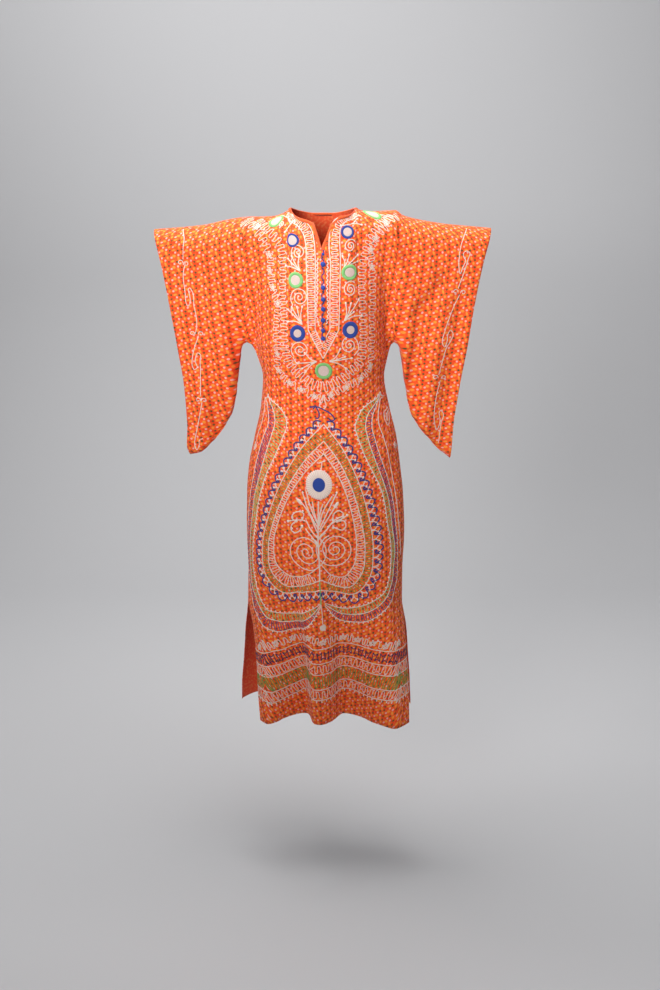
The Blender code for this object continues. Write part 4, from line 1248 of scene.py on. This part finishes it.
def raised(needle, name, centre, radii, rings, heights, runs, slots, finishes):
    """A low cushion on the cloth: rings are shares of the radii, heights(share, angle) metres."""
    spokes = len(heights[0])
    angle = 2 * np.pi * np.arange(spokes) / spokes
    way = np.stack([np.cos(angle) * radii[0], np.sin(angle) * radii[1]], -1)
    way *= 1 + RAGGED * np.cos(spokes / 4 * angle)[:, None]
    flat = np.concatenate([[centre]] + [centre + share * way for share in rings])
    at, up = needle.ground.lay(flat)
    height = np.concatenate([[heights[0].mean()]] + list(heights))
    points = np.concatenate([at + up * height[:, None], at - up * 0.0002])
    count, last = len(flat), len(rings) - 1
    faces, marks = [], []
    for k in range(spokes):
        near = (k + 1) % spokes
        faces.append([0, 1 + k, 1 + near])
        faces.append([count, count + 1 + last * spokes + near, count + 1 + last * spokes + k])
        marks += [slots[0], slots[-1]]
        for ring in range(last):
            a, b = 1 + ring * spokes, 1 + (ring + 1) * spokes
            faces.append([a + k, b + k, b + near, a + near])
            marks.append(slots[ring + 1])
        edge = 1 + last * spokes
        faces.append([edge + k, count + edge + k, count + edge + near, edge + near])
        marks.append(slots[-1])
    made = mesh_object(name, points, faces, finishes)
    made.data.polygons.foreach_set("material_index", marks)
    # Along these runs the thread's material paints shade between the coil's turns and the ring's stitches.
    run = np.concatenate([[0.0]] + list(runs)) * CHAIN_LINK
    layer = made.data.attributes.new("run", "FLOAT", "POINT")
    layer.data.foreach_set("value", np.concatenate([run, run]).astype(np.float32))
    body = bmesh.new()
    body.from_mesh(made.data)
    loose = [v for v in body.verts if not v.link_faces]
    bmesh.ops.delete(body, geom=loose, context="VERTS")
    bmesh.ops.recalc_face_normals(body, faces=body.faces)
    body.to_mesh(made.data)
    body.free()
    return made


def stretched(needle, centre, width):
    """A round's half width on the cut, where the cloth turns away to the side."""
    _, up = needle.ground.lay([centre])
    return width / max(abs(up[0, 1]) / math.hypot(up[0, 0], up[0, 1]), 0.75)


def sew_round(needle, name, x, z, width, height, ring, colour, finishes):
    """A coiled pale middle in a ring of straight stitches."""
    radius = 0.0005 * (width + height)
    inner = 1 - ring / 1000 / radius
    spokes = 4 * round(2 * np.pi * radius / ROUND["spoke"])
    rings = np.concatenate([np.linspace(0.08, 0.96, 15) * inner,
                            inner + (1 - inner) * np.array([0.0, 0.12, 0.35, 0.65, 0.9, 1.0])])
    angle = 2 * np.pi * np.arange(spokes) / spokes
    heights, runs = [], []
    for share in rings:
        if share < inner:
            coil = share * radius / ROUND["coil"] - angle / (2 * np.pi)
            heights.append(ROUND["low"] + ROUND["ridge"] * np.abs(np.cos(np.pi * coil)))
            runs.append(coil)
        else:
            q = (share - inner) / (1 - inner)
            arched = math.sqrt(max(1 - (2 * q - 1) ** 2, 0.0))
            rib = 0.75 + 0.25 * np.abs(np.cos(spokes / 8 * angle))
            heights.append(0.0001 + ROUND["high"] * arched * rib)
            runs.append(spokes / 8 * angle / np.pi)
    centre = needle.ground.flat([(x, z)])[0]
    radii = (stretched(needle, centre, width / 1000), height / 1000)
    made = raised(needle, "coiled_round_" + name, centre, radii, rings, heights, runs,
                  [0] * 16 + [1] * 6, finishes)
    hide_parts("round_" + name)
    return made


def sew_eye(needle, finishes):
    """An oval of long pale stitches round a blue middle."""
    spokes = 4 * EYE["spokes"]
    blue = EYE["blue"]
    rings = np.concatenate([np.linspace(0.1, 0.94, 7) * blue,
                            blue + (1 - blue) * np.array([0.0, 0.06, 0.25, 0.5, 0.75, 0.93, 1.0])])
    angle = 2 * np.pi * np.arange(spokes) / spokes
    heights, runs = [], []
    for share in rings:
        if share < blue:
            coil = share * EYE["radius_x"] / 0.0022 - angle / (2 * np.pi)
            heights.append(0.0022 + 0.0004 * np.abs(np.cos(np.pi * coil)))
            runs.append(coil)
        else:
            q = (share - blue) / (1 - blue)
            fall = math.sqrt(max(1 - q**3, 0.0)) * (0.55 + 0.45 * min(q / 0.2, 1.0))
            rib = 0.60 + 0.40 * np.abs(np.cos(spokes / 8 * angle))
            heights.append(0.0002 + EYE["high"] * fall * rib)
            runs.append(spokes / 8 * angle / np.pi)
    centre = needle.ground.flat([(EYE["x"], EYE["z"])])[0]
    made = raised(needle, "oval_eye", centre, (EYE["radius_x"], EYE["radius_z"]), rings,
                  heights, runs, [0] * 8 + [1] * 6, finishes)
    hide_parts("feather_eye")
    return made


def sew_knots(needle, finish):
    """Round knots of wound thread, down the slit."""
    made = []
    for number, (z, radius) in enumerate(zip(KNOTS["z"], KNOTS["radius"]), 1):
        at, up = needle.ground.lay(needle.ground.flat([(0.0, z)]))
        body = bmesh.new()
        bmesh.ops.create_uvsphere(body, u_segments=20, v_segments=12, radius=1.0)
        for vert in body.verts:
            turn = math.atan2(vert.co.y, vert.co.x)
            wind = 1 + 0.07 * math.sin(KNOTS["winds"] * 4 * vert.co.z + 2 * turn)
            vert.co *= radius * wind
            vert.co.z *= KNOTS["flat"]
        normal = Vector(up[0])
        turned = normal.to_track_quat("Z", "X").to_matrix()
        place = Vector(at[0]) + normal * (KNOTS["lift"] + KNOTS["flat"] * radius)
        for vert in body.verts:
            vert.co = turned @ vert.co + place
        mesh = bpy.data.meshes.new(f"knot_{number}")
        body.to_mesh(mesh)
        body.free()
        mesh.shade_smooth()
        mesh.materials.append(finish)
        knot = bpy.data.objects.new(f"knot_{number}", mesh)
        bpy.context.scene.collection.objects.link(knot)
        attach(knot, "root")
        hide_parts(f"button_{number}")
        made.append(knot)
    return made


BINDING = {
    "columns": range(4, 17), "rows": range(8, 41), "fan": (0.0, 0.25, 0.5, 0.75, 1.0),
    # across the tape from the edge inwards: how far in, and how high over the cloth
    "section": ((-0.0004, -0.0012), (-0.0009, 0.0002), (-0.0002, 0.0014), (0.0015, 0.0019),
                (0.0048, 0.0017), (0.0062, 0.0011), (0.0066, -0.0003)),
    "printed_below": -0.086,  # beside the closed slit the strip is the printed cloth itself
}


def walk_in(panel, cells):
    """Places (x, y, z, u, v) from the cloth's edge inwards, and the tape's height over each."""
    side, cells = cells
    at = [panel.grids[side][0][cell] for cell in cells]
    points, up = np.concatenate([panel.points[at], panel.flat[at]], 1), panel.normals()[at]
    run = run_of(points[:, :3])
    way = (points[1] - points[0]) / run[1]
    places = []
    for far, high in BINDING["section"]:
        place = [np.interp(far, run, points[:, k]) for k in range(5)] + min(far, 0.0) * way
        lift = np.array([np.interp(far, run, up[:, k]) for k in range(3)])
        places.append((place, np.pad(high * lift / np.linalg.norm(lift), (0, 2))))
    return points[0], places


def binding_sections(front, back):
    """The tape's sections from one end of the slit, round the neck, to the other."""
    found = []

    def down(panel, side, column):
        return walk_in(panel, (side, [(row, column) for row in range(16)]))

    def over(panel, side, row):
        return walk_in(panel, (side, [(row, column) for column in range(12)]))

    def outward(panel, side):
        cells = [(0, NECK_COLUMN * FINER + step) for step in range(6)]
        return walk_in(panel, (side, cells))

    def fan(first, second, shares):
        """Sections that turn about a corner, from the first way in to the second."""
        corner = first[0]
        for share in shares:
            c, s = math.cos(share * math.pi / 2), math.sin(share * math.pi / 2)
            found.append([corner + c * (a - corner) + s * (b - corner) + 0.5 * (up + tilt)
                          for (a, up), (b, tilt) in zip(first[1], second[1])])

    def add(walked):
        found.append([place + up for place, up in walked[1]])

    end = NECK_COLUMN * FINER
    for row in reversed(BINDING["rows"]):
        add(over(front, "right", row))
    fan(over(front, "right", 0), down(front, "right", 0), BINDING["fan"])
    for column in BINDING["columns"]:
        add(down(front, "right", column))
    fan(down(front, "right", end), outward(front, "right"), BINDING["fan"])
    fan(outward(back, "right"), down(back, "right", end), BINDING["fan"][1:])
    for column in reversed(BINDING["columns"]):
        add(down(back, "right", column))
    for column in BINDING["columns"]:
        add(down(back, "left", column))
    fan(down(back, "left", end), outward(back, "left"), BINDING["fan"])
    fan(outward(front, "left"), down(front, "left", end), BINDING["fan"][1:])
    for column in reversed(BINDING["columns"]):
        add(down(front, "left", column))
    fan(down(front, "left", 0), over(front, "left", 0), BINDING["fan"])
    for row in BINDING["rows"]:
        add(over(front, "left", row))
    return np.array(found)


def neck_tape(front, back, finishes):
    """The narrow folded tape that binds the neck and the slit."""
    sections = binding_sections(front, back)
    count, width = sections.shape[:2]
    points = sections[..., :3].reshape(-1, 3)
    faces = []
    for k in range(count - 1):
        for i in range(width):
            j = (i + 1) % width
            faces.append([k * width + i, k * width + j, (k + 1) * width + j, (k + 1) * width + i])
    faces.append(list(range(width))[::-1])
    faces.append([(count - 1) * width + i for i in range(width)])
    made = mesh_object("neck_tape", points, faces, finishes)
    low = [points[list(face), 2].mean() < BINDING["printed_below"] for face in faces]
    made.data.polygons.foreach_set("material_index", np.array(low, dtype=np.int32))
    set_uv(made.data, sections[..., 3:].reshape(-1, 2))
    body = bmesh.new()
    body.from_mesh(made.data)
    bmesh.ops.recalc_face_normals(body, faces=body.faces)
    body.to_mesh(made.data)
    body.free()
    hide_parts("neck_binding")
    return made


def embroidery(panel):
    """All the needlework on the front, and the pieces it makes."""
    needle = Needle(Ground(panel))
    for sew in (sew_yoke, sew_bands, sew_ogees, sew_plume, sew_wings, sew_hem, sew_sleeves):
        sew(needle)
    finish = {name: thread_cotton(name + " thread") for name in
              ("white", "pale", "green", "olive", "blue", "violet", "purple")}
    chain, fat = chain_stitch_tree(), fat_stitch_tree()
    slots = {"white": "white_thread", "green": "green_thread", "olive": "green_thread",
             "blue": "blue_thread", "violet": "blue_thread", "purple": "blue_thread"}
    made = []
    for name in needle.lines:
        colour = name.split()[0]
        made.append(threads(needle, name, chain, finish[colour], slots[colour]))
    for name in needle.bars:
        colour = name.split()[0]
        made.append(fat_stitches(needle, name, fat, finish[colour], slots[colour]))
    for name, *sizes, colour in ROUNDS:
        made.append(sew_round(needle, name, *sizes, colour, (finish["pale"], finish[colour])))
    made.append(sew_eye(needle, (finish["blue"], finish["white"])))
    return made + sew_knots(needle, finish["blue"])


# Materials

CHAIN_LINK = 0.0032
PRINT_REPEAT = (0.0282, 0.0243)  # across and up; each next column is dropped by half
# The printed motifs in a repeat, millimetres from its corner, u to the right and v up:
# colour, u, v, half width, half height, turn in degrees
PRINT_MOTIFS = (
    ("olive", 0.0, 0.0, 2.5, 2.3, 0),
    ("olive", 10.3, 12.2, 2.3, 2.3, 0),
    ("olive", 10.3, 3.4, 2.3, 2.3, 0),
    ("pale", -5.6, -4.5, 2.1, 2.4, 0),
    ("pale", 2.3, -9.8, 2.3, 2.3, 0),
    ("pale", 15.9, -3.4, 2.4, 2.2, 30),
    ("yellow", 7.3, -3.6, 2.5, 3.2, 0),
    ("yellow", 2.8, 6.8, 2.3, 4.6, 20),
    ("yellow", 19.0, -11.0, 4.4, 2.3, 15),
    ("yellow", 21.2, 0.2, 3.9, 3.1, 0),
    ("red", 17.6, 7.6, 2.2, 2.0, 0),
    ("red", 6.6, 12.6, 2.2, 1.8, 0),
    ("red", -4.2, -10.2, 2.4, 1.5, 0),
    ("red", 10.6, 7.8, 2.8, 1.6, 0),
)
COLOURS = {
    "ground": (0.92, 0.118, 0.022),
    "ground_red": (0.90, 0.078, 0.016),
    "red": (0.84, 0.045, 0.013),
    "yellow": (0.95, 0.310, 0.042),
    "pale": (0.88, 0.46, 0.42),
    "olive": (0.105, 0.078, 0.022),
    "wrong": (0.88, 0.095, 0.030),
    "wrong_mark": (0.90, 0.19, 0.06),
    "white thread": (0.82, 0.66, 0.58),
    "green thread": (0.22, 0.52, 0.17),
    "olive thread": (0.16, 0.29, 0.055),
    "pale thread": (0.68, 0.51, 0.46),
    "blue thread": (0.020, 0.055, 0.30),
    "violet thread": (0.042, 0.038, 0.19),
    "purple thread": (0.036, 0.020, 0.085),
    "binding": (0.86, 0.12, 0.025),
    "floor": (0.56, 0.56, 0.57),
}


class Shader:
    """A short way to add and link the nodes of one material."""

    def __init__(self, name):
        self.material = bpy.data.materials.new(name)
        self.material.use_nodes = True
        self.tree = self.material.node_tree
        self.surface = self.tree.nodes["Principled BSDF"]

    def node(self, kind, inputs=None, **settings):
        made = self.tree.nodes.new("ShaderNode" + kind)
        for key, value in settings.items():
            setattr(made, key, value)
        for key, value in (inputs or {}).items():
            if isinstance(value, bpy.types.NodeSocket):
                self.tree.links.new(value, made.inputs[key])
            else:
                made.inputs[key].default_value = value
        return made

    def math(self, operation, a, b=0.0):
        return self.node("Math", {0: a, 1: b}, operation=operation).outputs[0]

    def vector(self, operation, a, b=None, c=None):
        inputs = {0: a}
        if b is not None:
            inputs[1] = b
        if c is not None:
            inputs[2] = c
        made = self.node("VectorMath", inputs, operation=operation)
        return made.outputs["Value" if operation in ("DOT_PRODUCT", "LENGTH") else "Vector"]

    def mix(self, share, a, b):
        made = self.node("Mix", data_type="RGBA")
        for key, value in (("Factor_Float", share), ("A_Color", a), ("B_Color", b)):
            socket = next(s for s in made.inputs if s.identifier == key)
            if isinstance(value, bpy.types.NodeSocket):
                self.tree.links.new(value, socket)
            else:
                socket.default_value = value if key == "Factor_Float" else (*value, 1.0)
        return next(s for s in made.outputs if s.identifier == "Result_Color")

    def fade(self, value, full, none):
        """1 where value is at full, and 0 where it is at none."""
        made = self.node("MapRange", {"Value": value, "From Min": none, "From Max": full})
        return made.outputs["Result"]

    def set(self, **values):
        for key, value in values.items():
            socket = self.surface.inputs[key.replace("_", " ")]
            if isinstance(value, bpy.types.NodeSocket):
                self.tree.links.new(value, socket)
            else:
                socket.default_value = value

    def bump(self, height, distance, strength=1.0):
        made = self.node("Bump", {"Height": height, "Distance": distance, "Strength": strength})
        self.tree.links.new(made.outputs["Normal"], self.surface.inputs["Normal"])


def motif_mask(shader, repeat, motif):
    """1 inside one printed motif, wherever the half-drop repeat puts it."""
    _, u, v, half_width, half_height, turn = motif
    w, h = (1000 * size for size in PRINT_REPEAT)
    i, j = u / w, v / h + u / (2 * w)
    local = shader.vector("WRAP", shader.vector("SUBTRACT", repeat, (i, j, 0.0)),
                          (0.5, 0.5, 0.5), (-0.5, -0.5, -0.5))
    c, s = math.cos(math.radians(turn)), math.sin(math.radians(turn))
    across = ((w * c - h * s / 2) / half_width, h * s / half_width, 0.0)
    up = ((-w * s - h * c / 2) / half_height, h * c / half_height, 0.0)
    place = shader.node("CombineXYZ", {
        0: shader.vector("DOT_PRODUCT", local, across),
        1: shader.vector("DOT_PRODUCT", local, up),
    }).outputs[0]
    return shader.fade(shader.vector("LENGTH", place), 0.72, 1.25)


def cloth_place(shader, wander):
    """The cloth's own (u, v) in metres, made a little uneven as by a hand-cut printing block."""
    flat = shader.node("UVMap", uv_map="cloth").outputs["UV"]
    wave = shader.node("TexNoise", {"Vector": flat, "Scale": 90.0, "Detail": 1.0})
    off = shader.vector("SUBTRACT", wave.outputs["Color"], (0.5, 0.5, 0.5))
    off = shader.vector("SCALE", off)
    off.node.inputs["Scale"].default_value = wander
    return flat, shader.vector("ADD", flat, off)


def weave(shader, flat, pitch):
    """A plain weave's height."""
    cross = shader.node("SeparateXYZ", {0: flat})
    turns = 2 * math.pi / pitch
    warp = shader.math("SINE", shader.math("MULTIPLY", cross.outputs[0], turns))
    weft = shader.math("SINE", shader.math("MULTIPLY", cross.outputs[1], turns))
    return shader.math("MULTIPLY", warp, weft)


def printed_cotton():
    shader = Shader("printed cotton")
    flat, uneven = cloth_place(shader, 0.0010)
    w, h = PRINT_REPEAT
    across = shader.vector("DOT_PRODUCT", uneven, (1 / w, 0.0, 0.0))
    down = shader.vector("DOT_PRODUCT", uneven, (1 / (2 * w), 1 / h, 0.0))
    repeat = shader.node("CombineXYZ", {0: across, 1: down}).outputs[0]
    masks = {}
    for motif in PRINT_MOTIFS:
        mask = motif_mask(shader, repeat, motif)
        colour = motif[0]
        masks[colour] = shader.math("MAXIMUM", masks[colour], mask) if colour in masks else mask
    patches = shader.node("TexNoise", {"Vector": flat, "Scale": 220.0, "Detail": 2.0})
    redness = shader.fade(patches.outputs["Fac"], 0.62, 0.42)
    colour = shader.mix(redness, COLOURS["ground"], COLOURS["ground_red"])
    worn = shader.node("TexNoise", {"Vector": flat, "Scale": 700.0, "Detail": 2.0})
    kept = shader.fade(worn.outputs["Fac"], 0.42, 0.18)
    for name in ("red", "yellow", "olive", "pale"):
        colour = shader.mix(shader.math("MULTIPLY", masks[name], kept), colour, COLOURS[name])
    shader.set(Base_Color=colour, Roughness=0.86)
    shader.set(Sheen_Weight=0.07, Sheen_Roughness=0.45, Specular_IOR_Level=0.22)
    shader.bump(weave(shader, flat, 0.0009), 0.00012, 0.6)
    return shader.material


def wrong_cotton():
    """The printed cotton's wrong side, where the print shows through only faintly."""
    shader = Shader("cotton wrong side")
    flat, uneven = cloth_place(shader, 0.003)
    marks = shader.node("TexNoise", {"Vector": uneven, "Scale": 160.0, "Detail": 1.0})
    mask = shader.fade(marks.outputs["Fac"], 0.62, 0.50)
    shader.set(Base_Color=shader.mix(mask, COLOURS["wrong"], COLOURS["wrong_mark"]))
    shader.set(Roughness=0.9, Sheen_Weight=0.12, Specular_IOR_Level=0.25)
    shader.bump(weave(shader, flat, 0.0009), 0.00012, 0.6)
    return shader.material


def thread_cotton(name):
    """Matt embroidery thread, with the links of its chain stitch along each line.
    Its colour is darker in the grooves between the links: painted shade.
    """
    shader = Shader(name)
    run = shader.node("Attribute", attribute_name="run").outputs["Fac"]
    across = shader.node("Attribute", attribute_name="across").outputs["Fac"]
    turn = shader.math("MULTIPLY", run, math.pi / CHAIN_LINK)
    link = shader.math("ABSOLUTE", shader.math("COSINE", turn))
    groove = shader.math("ABSOLUTE", shader.math("SUBTRACT", across, 0.5))
    groove = shader.fade(groove, 0.16, 0.0)
    height = shader.math("ADD", link, groove)
    colour = COLOURS[name]
    # Painted shade: the thread's colour darkens in the grooves between the chain's links.
    painted_shade_and_wear_colour = tuple(0.62 * part for part in colour)
    painted_shade_and_wear = shader.fade(link, 0.45, 0.0)
    shader.set(Base_Color=shader.mix(painted_shade_and_wear, painted_shade_and_wear_colour, colour), Roughness=0.75)
    shader.set(Sheen_Weight=0.15, Specular_IOR_Level=0.3)
    shader.bump(height, 0.0003, 0.7)
    return shader.material


def binding_cotton():
    shader = Shader("binding cotton")
    place = shader.node("TexCoord").outputs["Object"]
    wear = shader.node("TexNoise", {"Vector": place, "Scale": 420.0, "Detail": 2.0})
    painted_shade_and_wear = shader.fade(wear.outputs["Fac"], 0.7, 0.3)
    painted_shade_and_wear_colour = tuple(0.72 * part for part in COLOURS["binding"])
    shader.set(Base_Color=shader.mix(painted_shade_and_wear, painted_shade_and_wear_colour, COLOURS["binding"]), Roughness=0.85)
    shader.set(Sheen_Weight=0.15, Specular_IOR_Level=0.28)
    shader.bump(wear.outputs["Fac"], 0.0004, 0.5)
    return shader.material


def plain(name, colour, roughness=0.9):
    shader = Shader(name)
    shader.set(Base_Color=(*colour, 1.0), Roughness=roughness)
    return shader.material


# Camera, light and floor

CAMERA = {"x": 0.015, "y": -2.44, "z": -0.017, "down": 14.65, "lens": 38.8}
FLOOR_Z = -1.62
BACKDROP = {"front": -5.0, "turn": 2.0, "round": 1.3, "top": 3.5, "half_width": 7.0, "steps": 24}


def camera():
    data = bpy.data.cameras.new("camera")
    data.lens, data.sensor_width = CAMERA["lens"], 36.0
    made = bpy.data.objects.new("camera", data)
    made.location = (CAMERA["x"], CAMERA["y"], CAMERA["z"])
    made.rotation_euler = (math.radians(90 - CAMERA["down"]), 0.0, 0.0)
    bpy.context.scene.collection.objects.link(made)
    bpy.context.scene.camera = made


def area_light(name, place, target, size, power, spread=180.0):
    data = bpy.data.lights.new(name, "AREA")
    data.shape, data.size, data.energy = "DISK", size, power
    data.spread = math.radians(spread)
    made = bpy.data.objects.new(name, data)
    made.location = place
    way = Vector(target) - Vector(place)
    made.rotation_euler = way.to_track_quat("-Z", "Y").to_euler()
    bpy.context.scene.collection.objects.link(made)


def backdrop():
    """A pale floor that turns up softly into a plain wall."""
    line = [(BACKDROP["front"], FLOOR_Z)]
    radius = BACKDROP["round"]
    for k in range(BACKDROP["steps"] + 1):
        turn = 0.5 * math.pi * k / BACKDROP["steps"]
        line.append((BACKDROP["turn"] + radius * math.sin(turn),
                     FLOOR_Z + radius * (1 - math.cos(turn))))
    line.append((BACKDROP["turn"] + radius, BACKDROP["top"]))
    half = BACKDROP["half_width"]
    points = [(x, y, z) for y, z in line for x in (-half, half)]
    faces = [[2 * k, 2 * k + 1, 2 * k + 3, 2 * k + 2] for k in range(len(line) - 1)]
    mesh = bpy.data.meshes.new("floor")
    mesh.from_pydata(points, [], faces)
    mesh.shade_smooth()
    mesh.materials.append(plain("pale floor", COLOURS["floor"]))
    made = bpy.data.objects.new("floor", mesh)
    bpy.context.scene.collection.objects.link(made)


def light():
    area_light("key", (-0.90, -2.10, 0.45), (0.0, 0.0, 0.24), 1.1, 12.9, spread=74)
    area_light("fill", (2.2, -2.6, 0.7), (0.0, 0.0, -0.2), 1.8, 4.2)
    area_light("top", (0.8, -0.9, 3.4), (0.3, -0.6, -1.62), 3.0, 34, spread=110)
    area_light("wall", (-0.7, 0.3, 2.5), (-0.1, 3.3, -0.4), 2.4, 114)
    world = bpy.data.worlds.new("soft room")
    world.use_nodes = True
    world.node_tree.nodes["Background"].inputs["Color"].default_value = (0.93, 0.95, 1.0, 1.0)
    world.node_tree.nodes["Background"].inputs["Strength"].default_value = 0.12
    bpy.context.scene.world = world


def main():
    camera()
    light()
    backdrop()
    bpy.context.scene.view_settings.view_transform = "Standard"
    printed, wrong = printed_cotton(), wrong_cotton()
    panels = {name: Panel(name) for name in ("front", "back")}
    sewn = {"front": embroidery(panels["front"]), "back": []}
    finishes = (binding_cotton(), printed)
    sewn["front"].append(neck_tape(panels["front"], panels["back"], finishes))
    for name, panel in panels.items():
        shell = cloth_shell(panel, printed, wrong)
        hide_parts(name)


main()
